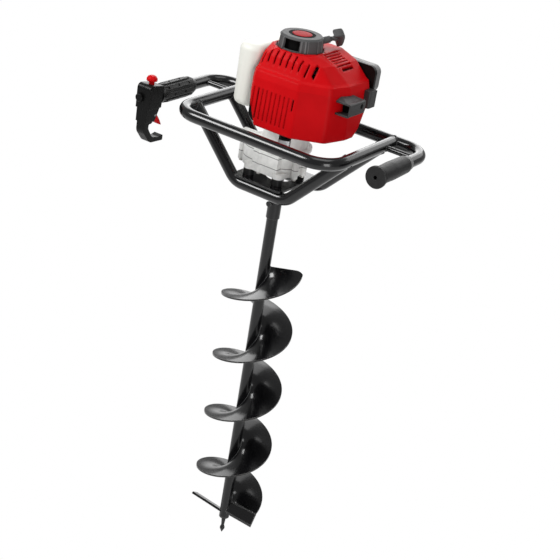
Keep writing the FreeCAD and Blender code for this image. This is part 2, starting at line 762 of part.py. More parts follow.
def make_buttons():
    x = -HANDLE_X
    y = GRIP_END_Y - BUTTON_BACK
    top = RING_Z + THROTTLE_TOP + STOP_TRAVEL + SLIDE_GAP
    dome = turned(
        [
            (0, top),
            (STOP_BUTTON_OD / 2, top),
            (STOP_BUTTON_OD / 2, top + STOP_BUTTON_HEIGHT * 0.45),
            (STOP_BUTTON_OD / 2 - 2.5, top + STOP_BUTTON_HEIGHT * 0.85),
            (STOP_BUTTON_OD / 4, top + STOP_BUTTON_HEIGHT),
            (0, top + STOP_BUTTON_HEIGHT),
        ]
    )
    dome.translate(V(x, y, 0))
    stem = cylinder(STOP_STEM_OD / 2, RING_Z + THROTTLE_TOP - STOP_STEM_LENGTH, top, x, y)
    save("stop_button", fuse([dome, stem]))
    centre = V(x - LOCK_SHIFT, THROTTLE_FRONT_Y, RING_Z)
    inside = centre + V(0, 2, 0)
    outside = centre - V(0, LOCK_BUTTON_HEIGHT, 0)
    lock = rod(LOCK_BUTTON_OD / 2, inside, outside)
    save("throttle_lock_button", lock.makeChamfer(1.0, [ring_edge_at(lock, outside)]))


def ring_edge_at(shape, point):
    """The circular edge of a shape whose centre is at the point."""
    circles = [edge for edge in shape.Edges if hasattr(edge.Curve, "Radius")]
    return min(circles, key=lambda edge: edge.Curve.Center.distanceToPoint(point))


# ---- gearbox -------------------------------------------------------------------------------------
def involute_point(base_radius, radius):
    """Polar angle, in radians, that an involute has unwound through when it reaches the radius."""
    roll = math.sqrt(max((radius / base_radius) ** 2 - 1, 0))
    return roll - math.atan(roll)


def gear(teeth, z0, z1, x, phase):
    """Spur gear on a vertical axis at x. A tooth points along the phase angle."""
    pitch_radius = GEAR_MODULE * teeth / 2
    base_radius = pitch_radius * math.cos(math.radians(PRESSURE_ANGLE))
    tip_radius = pitch_radius + ADDENDUM * GEAR_MODULE
    root_radius = pitch_radius - DEDENDUM * GEAR_MODULE
    flank_start = max(root_radius, base_radius)
    half_tooth = math.pi / (2 * teeth) - TOOTH_BACKLASH / (2 * pitch_radius)
    at_pitch = involute_point(base_radius, pitch_radius)
    flank = []
    for step in range(3):
        radius = flank_start + (tip_radius - flank_start) * step / 2
        flank.append((radius, half_tooth + at_pitch - involute_point(base_radius, radius)))
    if flank_start > root_radius:
        flank.insert(0, (root_radius, flank[0][1]))
    points = []
    for tooth in range(teeth):
        middle = math.radians(phase) + 2 * math.pi * tooth / teeth
        side = [(r, middle - half) for r, half in flank]
        side += [(r, middle + half) for r, half in reversed(flank)]
        points += [V(x + r * math.cos(a), r * math.sin(a), z0) for r, a in side]
    return Part.Face(Part.makePolygon(points + points[:1])).extrude(V(0, 0, z1 - z0))


def make_output():
    low = SOCKET_Z + SOCKET_LENGTH - OUTPUT_PLUG_DEPTH
    high = LOW_GEAR_Z + GEAR_FACE + AXIAL_GAP
    shaft = cylinder(OUTPUT_SHAFT_OD / 2, low, high)
    save("output_shaft", shaft.cut(cross_pin_rod()))
    wheel = gear(WHEEL_TEETH, LOW_GEAR_Z, LOW_GEAR_Z + GEAR_FACE, 0, 180 / WHEEL_TEETH)
    save("output_gear", wheel.cut(shaft))


def make_layshaft():
    low = CASE_Z + CASE_FLOOR - BUSH_LENGTH
    high = CASE_CEILING_Z + BUSH_LENGTH
    x = -GEAR_DISTANCE
    shaft = cylinder(LAYSHAFT_OD / 2, low, high, x)
    pinion_low = LOW_GEAR_Z - (PINION_FACE - GEAR_FACE) / 2
    pinion = gear(PINION_TEETH, pinion_low, pinion_low + PINION_FACE, x, 0)
    save("layshaft", fuse([shaft, pinion]))
    wheel = gear(WHEEL_TEETH, HIGH_GEAR_Z, HIGH_GEAR_Z + GEAR_FACE, x, 180 / WHEEL_TEETH)
    save("layshaft_gear", wheel.cut(shaft))


def make_drum():
    shaft_low = LOW_GEAR_Z + GEAR_FACE + 2 * AXIAL_GAP + 1
    pinion_low = HIGH_GEAR_Z - (PINION_FACE - GEAR_FACE) / 2
    shaft = cylinder(DRUM_SHAFT_OD / 2, shaft_low, DRUM_Z)
    pinion = gear(PINION_TEETH, pinion_low, pinion_low + PINION_FACE, 0, 0)
    save("drum_pinion", fuse([shaft, pinion]))
    top = DRUM_Z + CLUTCH_HEIGHT
    cup = cylinder(CLUTCH_RADIUS, DRUM_Z, top)
    cup = cup.cut(cylinder(CLUTCH_RADIUS - CLUTCH_WALL, DRUM_Z + CLUTCH_WALL, top))
    save("clutch_drum", cup)


def make_clutch_shoes():
    low = DRUM_Z + CLUTCH_WALL + ROOM
    high = DRUM_Z + CLUTCH_HEIGHT - 2
    outer = CLUTCH_RADIUS - CLUTCH_WALL - ROOM
    shoes = ring(outer, CRANK_SHAFT_OD / 2, low, high)
    slot = block(-outer, outer, -SHOE_SLOT / 2, SHOE_SLOT / 2, low, high)
    hub = ring(CRANK_SHAFT_OD / 2 + 5, CRANK_SHAFT_OD / 2, low, high)
    save("clutch_shoes", fuse([shoes.cut(slot), hub]))


def case_outline(radius):
    """Two rounds, about the drive axis and the layshaft, joined by flat sides."""
    return [
        (radius, -radius),
        (radius, radius),
        (-GEAR_DISTANCE - radius, radius),
        (-GEAR_DISTANCE - radius, -radius),
    ]


def case_body(radius, z0, z1):
    return upright(case_outline(radius), [radius - 0.5] * 4, z0, z1)


def case_ear_places():
    reach = CASE_OUTER + CASE_EAR_OD / 4
    angle = math.radians(CASE_EAR_ANGLE)
    along = reach * math.cos(angle)
    across = reach * math.sin(angle)
    middle = -GEAR_DISTANCE / 2
    places = [(middle, -reach), (middle, reach)]
    for side in (-1, 1):
        places.append((along, side * across))
        places.append((-GEAR_DISTANCE - along, side * across))
    return places


def case_feet():
    """Pads of the lower casing that stand on the rubber mounts."""
    top = CASE_Z + CASE_FOOT_THICK
    half = MOUNT_OD / 2
    feet = []
    for x, y in mount_places():
        feet.append(cylinder(half, CASE_Z, top, x, y))
        feet.append(block(x - half, x + half, min(y, 0), max(y, 0), CASE_Z, top))
    return feet


def case_layer(z0, z1):
    body = case_body(CASE_OUTER, z0, z1)
    front = block(-CASE_FRONT_HALF, CASE_FRONT_HALF * 0.6, CASE_FRONT_Y, 0, z0, z1)
    ears = [cylinder(CASE_EAR_OD / 2, z0, z1, x, y) for x, y in case_ear_places()]
    return fuse([body, front] + ears)


def case_bolts_tool(z0, z1):
    return [cylinder(CASE_BOLT_OD / 2, z0, z1, x, y) for x, y in case_ear_places()]


def make_gear_case():
    split_low = CASE_Z + CASE_SPLIT_LOW
    split_high = CASE_Z + CASE_SPLIT_HIGH
    floor = CASE_Z + CASE_FLOOR
    lay_x = -GEAR_DISTANCE
    cavity = case_body(CASE_INNER, floor, CASE_CEILING_Z)
    bolt_holes = case_bolts_tool(CASE_Z, CASE_TOP_Z)
    bush = LAYSHAFT_OD / 2 + RUN_FIT + BUSH_WALL
    bearing = OUTPUT_SHAFT_OD / 2 + RUN_FIT + OUTPUT_BEARING_WALL
    neck_low = floor - OUTPUT_BEARING_LENGTH
    neck = cylinder(bearing + CASE_WALL, neck_low, CASE_Z)
    lower = fuse([case_layer(CASE_Z, split_low), neck] + case_feet())
    tools = [
        cavity,
        cylinder(bearing, neck_low, floor),
        cylinder(bush, floor - BUSH_LENGTH, floor, lay_x),
    ]
    bolt_sockets = mount_bolt_tools(CASE_Z, CASE_Z + MOUNT_BOLT_OD)
    save("gear_case_lower", cut_all(lower, tools + bolt_holes + bolt_sockets))
    middle = cut_all(case_layer(split_low, split_high), [cavity] + bolt_holes)
    save("gear_case_middle", middle)
    half = CASE_LUG_HALF_WIDTH
    lug = block(CASE_LUG_X, lay_x, -half, half, split_high, CASE_TOP_Z)
    upper = fuse([case_layer(split_high, CASE_TOP_Z), lug])
    drum_bush = DRUM_SHAFT_OD / 2 + RUN_FIT + BUSH_WALL
    tools = [
        cavity,
        cylinder(drum_bush, CASE_CEILING_Z, CASE_TOP_Z),
        cylinder(bush, CASE_CEILING_Z, CASE_CEILING_Z + BUSH_LENGTH, lay_x),
    ]
    save("gear_case_upper", cut_all(upper, tools + bolt_holes))
    lay_bore = LAYSHAFT_OD / 2 + RUN_FIT
    bearings = [
        ring(bush, lay_bore, floor - BUSH_LENGTH, floor, lay_x),
        ring(bush, lay_bore, CASE_CEILING_Z, CASE_CEILING_Z + BUSH_LENGTH, lay_x),
        ring(drum_bush, DRUM_SHAFT_OD / 2 + RUN_FIT, CASE_CEILING_Z, CASE_TOP_Z),
        ring(bearing, OUTPUT_SHAFT_OD / 2 + RUN_FIT, neck_low, floor),
    ]
    save("gear_case_bearings", Part.makeCompound(bearings))
    bolts = []
    for x, y in case_ear_places():
        shank = cylinder(CASE_BOLT_OD / 2, CASE_Z, CASE_TOP_Z, x, y)
        head = cylinder(CASE_BOLT_HEAD_OD / 2, CASE_Z - CASE_BOLT_HEAD, CASE_Z, x, y)
        bolts.append(fuse([shank, head]))
    for x, y in mount_places():
        shank = cylinder(MOUNT_BOLT_OD / 2, PLATE_Z, CASE_Z + MOUNT_BOLT_OD, x, y)
        head = cylinder(MOUNT_BOLT_OD * 0.85, PLATE_Z - CASE_BOLT_HEAD, PLATE_Z, x, y)
        bolts.append(fuse([shank, head]))
    save("gear_case_bolts", Part.makeCompound(bolts))


def mount_places():
    front = CRADLE_FRONT_Y + MOUNT_INSET
    rear = CRADLE_REAR_Y - MOUNT_INSET
    return [(-MOUNT_X, front), (MOUNT_X * 0.5, front), (-MOUNT_X, rear), (MOUNT_X * 0.5, rear)]


def mount_bolt_tools(z0, z1):
    return [cylinder(MOUNT_BOLT_OD / 2, z0, z1, x, y) for x, y in mount_places()]


def make_mounting():
    neck = OUTPUT_SHAFT_OD / 2 + RUN_FIT + OUTPUT_BEARING_WALL + CASE_WALL
    corners = [
        (-PLATE_HALF_X, CRADLE_FRONT_Y - PLATE_MARGIN),
        (PLATE_HALF_X * 0.75, CRADLE_FRONT_Y - PLATE_MARGIN),
        (PLATE_HALF_X * 0.75, CRADLE_REAR_Y + PLATE_MARGIN),
        (-PLATE_HALF_X, CRADLE_REAR_Y + PLATE_MARGIN),
    ]
    base = upright(corners, [10] * 4, PLATE_Z, PLATE_Z + PLATE_THICK)
    base = base.cut(cylinder(neck + PLATE_HOLE_GAP, PLATE_Z, PLATE_Z + PLATE_THICK))
    seats = [swept(cradle_path(y), TUBE_R + WELD_GAP) for y in (CRADLE_FRONT_Y, CRADLE_REAR_Y)]
    base = cut_all(base, mount_bolt_tools(PLATE_Z, PLATE_Z + PLATE_THICK) + seats)
    save("engine_plate", keep_largest(base))
    low = PLATE_Z + PLATE_THICK
    rubbers = []
    for x, y in mount_places():
        rubbers.append(ring(MOUNT_OD / 2, MOUNT_BOLT_OD / 2, low, CASE_Z, x, y))
    save("rubber_mounts", Part.makeCompound(rubbers))


def make_clutch_case():
    inner = CLUTCH_RADIUS + ROOM
    outer = inner + CLUTCH_CASE_WALL
    low = CASE_TOP_Z
    high = CRANK_CASE_Z
    case = fuse(
        [
            cylinder(outer, low, high),
            cylinder(outer + CLUTCH_FLANGE, low, low + CLUTCH_FLANGE_THICK),
            cylinder(outer + CLUTCH_FLANGE / 2, high - CLUTCH_FLANGE_THICK, high),
        ]
    )
    case = case.cut(cylinder(inner, low, high))
    for i in range(CLUTCH_WINDOWS):
        window = block(
            inner - 5,
            outer + CLUTCH_FLANGE + 1,
            -CLUTCH_WINDOW_WIDTH / 2,
            CLUTCH_WINDOW_WIDTH / 2,
            low + CLUTCH_FLANGE_THICK + 4,
            high - CLUTCH_FLANGE_THICK - 4,
        )
        window.rotate(ORIGIN, Z_AXIS, -60 + 360 * i / CLUTCH_WINDOWS)
        case = case.cut(window)
    save("clutch_housing", case)


# ---- engine --------------------------------------------------------------------------------------
def make_crankcase():
    low = CRANK_CASE_Z
    high = CRANK_CASE_TOP_Z
    inner = CRANK_CASE_RADIUS - CRANK_CASE_WALL
    foot = CLUTCH_RADIUS + ROOM + CLUTCH_CASE_WALL + CLUTCH_FLANGE / 2
    body = fuse([cylinder(CRANK_CASE_RADIUS, low, high), cylinder(foot, low, low + 6)])
    bearing = CRANK_SHAFT_OD / 2 + RUN_FIT + CRANK_BEARING_WALL
    body = cut_all(
        body,
        [
            cylinder(inner, low + CRANK_CASE_FLOOR, high - CRANK_CASE_FLOOR),
            cylinder(bearing, low, high),
            rod(BARREL_RADIUS - 5, V(0, 0, BORE_Z), V(CRANK_CASE_RADIUS + 5, 0, BORE_Z)),
        ],
    )
    save("crankcase", body)
    rings = []
    for start in (low + CRANK_CASE_FLOOR - CRANK_BEARING_LENGTH, high - CRANK_CASE_FLOOR):
        end = start + CRANK_BEARING_LENGTH
        rings.append(ring(bearing, CRANK_SHAFT_OD / 2 + RUN_FIT, start, end))
    save("crank_bearings", Part.makeCompound(rings))


def make_crankshaft():
    low = DRUM_Z + CLUTCH_WALL + ROOM
    high = FLYWHEEL_Z + FLYWHEEL_DISC
    radius = CRANK_SHAFT_OD / 2
    lower_web = BORE_Z - CRANK_WEB_SPACE / 2 - CRANK_WEB_THICK
    upper_web = BORE_Z + CRANK_WEB_SPACE / 2
    pin = cylinder(CRANK_PIN_OD / 2, lower_web, upper_web + CRANK_WEB_THICK, CRANK_PIN_OFFSET)
    parts = [
        cylinder(radius, low, lower_web + CRANK_WEB_THICK),
        cylinder(CRANK_WEB_RADIUS, lower_web, lower_web + CRANK_WEB_THICK),
        pin,
        cylinder(CRANK_WEB_RADIUS, upper_web, upper_web + CRANK_WEB_THICK),
        cylinder(radius, upper_web, high),
    ]
    save("crankshaft", fuse(parts))


def make_cylinder():
    start = V(CRANK_CASE_RADIUS - 8, 0, BORE_Z)
    end = V(CYLINDER_END_X, 0, BORE_Z)
    barrel = rod(BARREL_RADIUS, start, end)
    case = cylinder(CRANK_CASE_RADIUS, CRANK_CASE_Z, CRANK_CASE_TOP_Z)
    first = CRANK_CASE_RADIUS + 4
    step = (CYLINDER_END_X - FIN_THICK - first) / (FIN_COUNT - 1)
    fins = []
    for i in range(FIN_COUNT):
        x = first + i * step
        corners = [
            V(x, -FIN_HALF_WIDTH, BORE_Z - FIN_HALF_HEIGHT),
            V(x, FIN_HALF_WIDTH, BORE_Z - FIN_HALF_HEIGHT),
            V(x, FIN_HALF_WIDTH, BORE_Z + FIN_HALF_HEIGHT),
            V(x, -FIN_HALF_WIDTH, BORE_Z + FIN_HALF_HEIGHT),
        ]
        fins.append(plate(corners, [FIN_CORNER] * 4, V(FIN_THICK, 0, 0)))
    port = block(
        CARB_X - PORT_HALF,
        CARB_X + PORT_HALF,
        -FIN_HALF_WIDTH,
        FIN_HALF_WIDTH,
        BORE_Z - PORT_HALF,
        BORE_Z + PORT_HALF,
    )
    body = fuse([barrel, port] + fins).cut(case)
    bore = rod(BARREL_RADIUS - 5, V(0, 0, BORE_Z), V(CYLINDER_END_X - 8, 0, BORE_Z))
    plug_hole = rod(PLUG_TIP_OD / 2 - 1, V(0, 0, BORE_Z), V(CYLINDER_END_X, 0, BORE_Z))
    save("cylinder", keep_largest(body.cut(bore).cut(plug_hole)))


def make_spark_plug():
    start = V(CYLINDER_END_X - 6, 0, BORE_Z)
    face = V(CYLINDER_END_X, 0, BORE_Z)
    hex_end = face + V(PLUG_HEX_LENGTH, 0, 0)
    tip = hex_end + V(PLUG_TIP_LENGTH, 0, 0)
    hexagon = []
    for i in range(6):
        angle = math.radians(60 * i)
        across = PLUG_HEX / 2 / math.cos(math.radians(30))
        hexagon.append(face + V(0, across * math.cos(angle), across * math.sin(angle)))
    nut = Part.Face(Part.makePolygon(hexagon + hexagon[:1])).extrude(V(PLUG_HEX_LENGTH, 0, 0))
    thread = rod(PLUG_TIP_OD / 2 - 1, start, face)
    save("spark_plug", fuse([thread, nut, rod(PLUG_TIP_OD / 2, hex_end, tip)]))


def make_muffler():
    front = -FIN_HALF_WIDTH - MUFFLER_GAP - MUFFLER_DEPTH
    x0 = MUFFLER_X - MUFFLER_LENGTH / 2
    corners = [
        (x0, front),
        (x0 + MUFFLER_LENGTH, front),
        (x0 + MUFFLER_LENGTH, front + MUFFLER_DEPTH),
        (x0, front + MUFFLER_DEPTH),
    ]
    half = MUFFLER_HEIGHT / 2
    body = upright(corners, [MUFFLER_CORNER] * 4, BORE_Z - half, BORE_Z + half)
    neck = block(
        CARB_X - PORT_HALF,
        x0 + MUFFLER_LENGTH - MUFFLER_CORNER,
        front + MUFFLER_DEPTH,
        -FIN_HALF_WIDTH,
        BORE_Z - PORT_HALF,
        BORE_Z + PORT_HALF,
    )
    save("muffler", fuse([body, neck]))


def make_flywheel():
    low = FLYWHEEL_Z
    disc = cylinder(FLYWHEEL_RADIUS, low, low + FLYWHEEL_DISC)
    top = low + FLYWHEEL_DISC + FAN_BLADE_HEIGHT
    hub = cylinder(FAN_HUB_RADIUS, low + FLYWHEEL_DISC, top)
    blades = []
    for i in range(FAN_BLADE_COUNT):
        blade = block(
            FAN_HUB_RADIUS - 1,
            FLYWHEEL_RADIUS - 1,
            -FAN_BLADE_THICK / 2,
            FAN_BLADE_THICK / 2,
            low + FLYWHEEL_DISC,
            top,
        )
        blade.rotate(ORIGIN, Z_AXIS, 360 * i / FAN_BLADE_COUNT)
        blades.append(blade)
    shaft = cylinder(CRANK_SHAFT_OD / 2, low, low + FLYWHEEL_DISC)
    cup_top = top + STARTER_CUP_HEIGHT
    cup = ring(STARTER_CUP_RADIUS, STARTER_CUP_RADIUS - STARTER_CUP_WALL, top, cup_top)
    hub = fuse([hub, cylinder(STARTER_CUP_RADIUS, top - STARTER_CUP_WALL, top), cup])
    save("flywheel", fuse([disc, hub] + blades).cut(shaft))


def make_fan_case():
    low = CRANK_CASE_TOP_Z
    high = DECK_UNDER_Z - FAN_CASE_FLANGE
    outer = FAN_CASE_RADIUS
    shell = cylinder(outer, low, high)
    shell = shell.cut(cylinder(outer - FAN_CASE_WALL, low + FAN_CASE_FLANGE, high))
    shell = shell.cut(cylinder(CRANK_SHAFT_OD / 2 + ROOM, low, high))
    outlet_top = FLYWHEEL_Z + FLYWHEEL_DISC + FAN_BLADE_HEIGHT
    half = COIL_WIDTH / 2 + ROOM
    outlet = block(FLYWHEEL_RADIUS - 2, outer + 1, -half, half, low + FAN_CASE_FLANGE, outlet_top)
    save("fan_housing", shell.cut(outlet))


def make_coil():
    x0 = FLYWHEEL_RADIUS + AXIAL_GAP
    low = CRANK_CASE_TOP_Z + FAN_CASE_FLANGE
    core = block(x0, x0 + 12, -COIL_WIDTH / 2, COIL_WIDTH / 2, low, low + 8)
    winding = block(x0 + 12, x0 + COIL_LENGTH + 12, -10, 10, low, low + COIL_HEIGHT)
    foot_z = BORE_Z + FIN_HALF_HEIGHT
    foot = block(x0 + 12, x0 + COIL_LENGTH + 12, -10, 10, foot_z, low)
    save("ignition_coil", fuse([core, winding, foot]))


# ---- auger bit -----------------------------------------------------------------------------------
def cross_pin_rod():
    z = BIT_LENGTH - CROSS_PIN_DROP
    reach = SOCKET_OD / 2 + CROSS_PIN_OVERHANG
    return rod(CROSS_PIN_OD / 2, V(0, -reach, z), V(0, reach, z))


def make_bit_shaft():
    radius = BIT_SHAFT_OD / 2
    save("auger_shaft", ring(radius, radius - BIT_SHAFT_WALL, PILOT_TOP_Z, SOCKET_Z))
    bore = OUTPUT_SHAFT_OD / 2 + RUN_FIT
    socket = cylinder(SOCKET_OD / 2, SOCKET_Z, BIT_LENGTH)
    socket = socket.cut(cylinder(bore, BIT_LENGTH - OUTPUT_PLUG_DEPTH, BIT_LENGTH))
    save("coupling_socket", socket.cut(cross_pin_rod()))
    pin = cross_pin_rod()
    end = V(0, -SOCKET_OD / 2 - CROSS_PIN_OVERHANG, BIT_LENGTH - CROSS_PIN_DROP)
    head = rod(CROSS_PIN_HEAD_OD / 2, end, end - V(0, CROSS_PIN_HEAD, 0))
    save("coupling_pin", fuse([pin, head]))


def flight_corner_tool(height, turns):
    """What rounds off the outer corner of the flight's top end."""
    radius = FLIGHT_CORNER
    centre_x = FLIGHT_RADIUS - radius
    low = height - FLIGHT_PITCH / 4
    high = height + 2 * FLIGHT_THICK
    tool = block(centre_x, FLIGHT_RADIUS + 1, -radius, 1, low, high)
    tool = tool.cut(cylinder(radius, low, high, centre_x, -radius))
    tool.rotate(ORIGIN, Z_AXIS, turns * 360)
    return tool


def make_flight():
    turns = FLIGHT_FULL_TURNS + (FLIGHT_TOP_ANGLE - FLIGHT_FOOT_ANGLE) / 360
    height = FLIGHT_PITCH * turns
    inner = Part.makeHelix(FLIGHT_PITCH, height, BIT_SHAFT_OD / 2)
    outer = Part.makeHelix(FLIGHT_PITCH, height, FLIGHT_RADIUS)
    same_way = 1
    ribbon = Part.makeRuledSurface(inner.Edges[0], outer.Edges[0], same_way)
    flight = ribbon.extrude(V(0, 0, FLIGHT_THICK))
    flight = flight.cut(flight_corner_tool(height, turns))
    flight.rotate(ORIGIN, Z_AXIS, FLIGHT_FOOT_ANGLE)
    flight.translate(V(0, 0, FLIGHT_FOOT_Z))
    save("auger_flight", flight)


def blade(length, width, rake, z, rise, turn):
    """Bevelled plate reaching out from the shaft, its leading edge low."""
    start = BIT_SHAFT_OD / 4
    half = width / 2
    section = [
        V(start, -half, 0),
        V(start, half, 0),
        V(start, half, BLADE_THICK),
        V(start, -half + BLADE_BEVEL, BLADE_THICK),
    ]
    body = Part.Face(Part.makePolygon(section + section[:1])).extrude(V(length, 0, 0))
    body.rotate(ORIGIN, X_AXIS, rake)
    body.rotate(ORIGIN, Y_AXIS, -rise)
    body.translate(V(0, 0, z))
    body.rotate(ORIGIN, Z_AXIS, turn)
    shaft = cylinder(BIT_SHAFT_OD / 2, 0, BIT_LENGTH)
    return keep_largest(body.cut(shaft))


def make_blades():
    rake = math.radians(CUTTER_RAKE)
    cutter_z = FLIGHT_FOOT_Z - CUTTER_WIDTH / 2 * math.sin(rake) - BLADE_THICK * math.cos(rake)
    save("cutter_blade", blade(CUTTER_LENGTH, CUTTER_WIDTH, CUTTER_RAKE, cutter_z, 0, 0))
    tail = blade(FISHTAIL_LENGTH, FISHTAIL_WIDTH, FISHTAIL_RAKE, FISHTAIL_Z, FISHTAIL_RISE, 180)
    save("fishtail_blade", tail)


def make_pilot():
    profile = [
        (0, PILOT_TOP_Z),
        (BIT_SHAFT_OD / 2, PILOT_TOP_Z),
        (BIT_SHAFT_OD / 2, PILOT_TOP_Z - PILOT_COLLAR),
        (PILOT_TOP_RADIUS, PILOT_TOP_Z - 2 * PILOT_COLLAR),
        (PILOT_NECK_RADIUS, PILOT_NECK_Z),
        (PILOT_BEAD_RADIUS, PILOT_BEAD_Z + PILOT_BEAD_RADIUS * 0.6),
        (PILOT_BEAD_RADIUS, PILOT_BEAD_Z),
        (PILOT_POINT_RADIUS, 0),
        (0, 0),
    ]
    save("pilot_point", turned(profile))


# ---- red engine cover ----------------------------------------------------------------------------
def cover_corners(inset):
    return [
        (COVER_LEFT_X, COVER_FRONT_Y + inset + COVER_LEFT_CORNER),
        (COVER_LEFT_X + COVER_LEFT_CORNER, COVER_FRONT_Y + inset),
        (COVER_FACET_X - inset * 0.3, COVER_FRONT_Y + inset),
        (COVER_CORNER_X - inset * 0.8, COVER_CORNER_Y + inset * 0.6),
        (COVER_RIGHT_X - inset, COVER_RIGHT_Y),
        (COVER_RIGHT_X - inset, COVER_REAR_Y - COVER_WALL),
        (COVER_LEFT_X, COVER_REAR_Y - COVER_WALL),
    ]


def cover_top_corners(inset):
    front = COVER_DECK_FRONT_Y + inset
    right = COVER_DECK_RIGHT_X - inset
    return [
        (COVER_LEFT_X, front + COVER_DECK_CORNER),
        (COVER_LEFT_X + COVER_DECK_CORNER, front),
        (right - COVER_DECK_CORNER, front),
        (right - COVER_DECK_CORNER * 0.3, front + COVER_DECK_CORNER * 0.3),
        (right, front + COVER_DECK_CORNER),
        (right, COVER_REAR_Y - COVER_WALL),
        (COVER_LEFT_X, COVER_REAR_Y - COVER_WALL),
    ]


def cover_levels(inset):
    """Plans of the hood from its open foot to its deck: drafted sides, broad shoulder, sloping deck."""
    shoulder = inset + COVER_DRAFT
    crest = shoulder + COVER_CREST_IN
    between = shoulder + COVER_CREST_IN * 0.35
    crest_z = COVER_CREST_Z - inset * 0.4
    top_z = COVER_TOP_Z - inset
    brow = []
    for (crest_x, crest_y), (top_x, top_y) in zip(cover_corners(crest), cover_top_corners(inset)):
        out = COVER_BROW_OUT
        brow.append((top_x + (crest_x - top_x) * out, top_y + (crest_y - top_y) * out))
    return [
        (cover_corners(inset), COVER_BOTTOM_Z),
        (cover_corners(shoulder), COVER_SHOULDER_Z),
        (cover_corners(between), (COVER_SHOULDER_Z + COVER_CREST_Z) / 2 + COVER_SHOULDER_LIFT),
        (cover_corners(crest), crest_z),
        (brow, crest_z + (top_z - crest_z) * COVER_BROW_UP),
        (cover_top_corners(inset), top_z),
    ]


def cover_body(inset):
    radii = [0, COVER_REAR_EDGE, COVER_EDGE, COVER_EDGE, COVER_EDGE, COVER_REAR_EDGE, 0]
    levels = cover_levels(inset)
    slices = []
    for (low_corners, low_z), (high_corners, high_z) in zip(levels, levels[1:]):
        low = bent_wire([V(x, y, low_z) for x, y in low_corners], radii, closed=True)
        high = bent_wire([V(x, y, high_z) for x, y in high_corners], radii, closed=True)
        slices.append(Part.makeLoft([low, high], True, True))
    return fuse(slices)


def louvre(i, depth):
    x = COVER_FACET_X - LOUVRE_MARGIN - i * LOUVRE_PITCH
    half = LOUVRE_WIDTH / 2
    low = LOUVRE_BOTTOM_Z if i else LOUVRE_TOP_Z - SHORT_LOUVRE_LENGTH
    groove_y = COVER_FRONT_Y + COVER_DRAFT + depth
    return block(x - half, x + half, COVER_FRONT_Y - 1, groove_y, low, LOUVRE_TOP_Z)


def louvres():
    """Upright grooves in the front wall; the short one and the last but one are open."""
    grooves = fuse([louvre(i, LOUVRE_DEPTH) for i in range(LOUVRE_COUNT)]).cut(cover_body(LOUVRE_DEPTH))
    return [grooves, louvre(0, COVER_WALL * 3), louvre(LOUVRE_COUNT - 2, COVER_WALL * 3)]


def crest_front_y(x):
    """Front edge of the sloping deck, which turns back along the facet."""
    inset = COVER_DRAFT + COVER_CREST_IN
    facet = COVER_FACET_X - inset * 0.3
    slant = (COVER_CORNER_Y - COVER_FRONT_Y) / (COVER_CORNER_X - COVER_FACET_X)
    return COVER_FRONT_Y + inset + max(0, x - facet) * slant


def deck_slots():
    """Slots that run back up the front slope of the deck and across its right slope."""
    tools = []
    low = COVER_CREST_Z
    high = COVER_TOP_Z + 1
    for i in range(DECK_SLOT_COUNT):
        x = COVER_LEFT_X + DECK_SLOT_PITCH * (i + 0.7)
        y = crest_front_y(x) + DECK_SLOT_MARGIN
        length = DECK_SLOT_LENGTH + DECK_SLOT_GROWTH * i
        half = DECK_SLOT_WIDTH / 2
        if i == DECK_SLOT_COUNT - 1:
            half = half * WIDE_SLOT
        tools.append(block(x - half, x + half, y, y + length, low, high))
    for i in range(SIDE_SLOT_COUNT):
        x = COVER_DECK_RIGHT_X + SIDE_SLOT_PITCH * (i + 0.5)
        half = SIDE_SLOT_WIDTH / 2
        start = SIDE_SLOT_START_Y
        if i == SIDE_SLOT_COUNT - 1:
            half = half * WIDE_SLOT
            start = start + SIDE_SLOT_WIDTH * 4
        tools.append(block(x - half, x + half, start, SIDE_SLOT_END_Y, low, high))
    return tools


def deck_hole():
    """Opening round the starter, scalloped between the starter's screws."""
    hole = cylinder(DECK_HOLE_RADIUS, COVER_CREST_Z, COVER_TOP_Z + 1)
    scallops = []
    for i in range(DECK_SCALLOP_COUNT):
        angle = math.tau * (i + 0.5) / DECK_SCALLOP_COUNT
        x = DECK_HOLE_RADIUS * math.cos(angle)
        y = DECK_HOLE_RADIUS * math.sin(angle)
        scallops.append(cylinder(DECK_SCALLOP_RADIUS, DECK_UNDER_Z, COVER_TOP_Z + 1, x, y))
    return fuse([hole] + scallops)


def foot_corner_cuts():
    """Slanting lower left corner of the front wall and leaning rear edge of the right one."""
    left = COVER_LEFT_X - 1
    low = COVER_BOTTOM_Z - 1
    points = [(left, COVER_BOTTOM_Z + COVER_CUT_RISE), (left, low), (COVER_LEFT_X + COVER_CUT_RUN, low)]
    corners = [V(x, COVER_FRONT_Y - 1, z) for x, z in points]
    depth = COVER_DRAFT + COVER_LEFT_CORNER + 2 * COVER_WALL
    slant = plate(corners, [0, 0, 0], V(0, depth, 0))
    x0 = CARB_X + CARB_WIDTH / 2 + COVER_HOLE_GAP
    rear = COVER_REAR_Y - COVER_WALL
    edge_top = COVER_BOTTOM_Z + COVER_LEAN_RISE
    profile = [
        V(x0, COVER_REAR_Y, low),
        V(x0, rear - COVER_LEAN - COVER_TOE_LENGTH, low),
        V(x0, rear - COVER_LEAN, COVER_BOTTOM_Z + COVER_TOE_RISE),
        V(x0, rear, edge_top),
        V(x0, COVER_REAR_Y, edge_top),
    ]
    lean = plate(profile, [0, 0, COVER_TOE_RADIUS, 0, 0], V(COVER_RIGHT_X + 1 - x0, 0, 0))
    return [slant, lean]


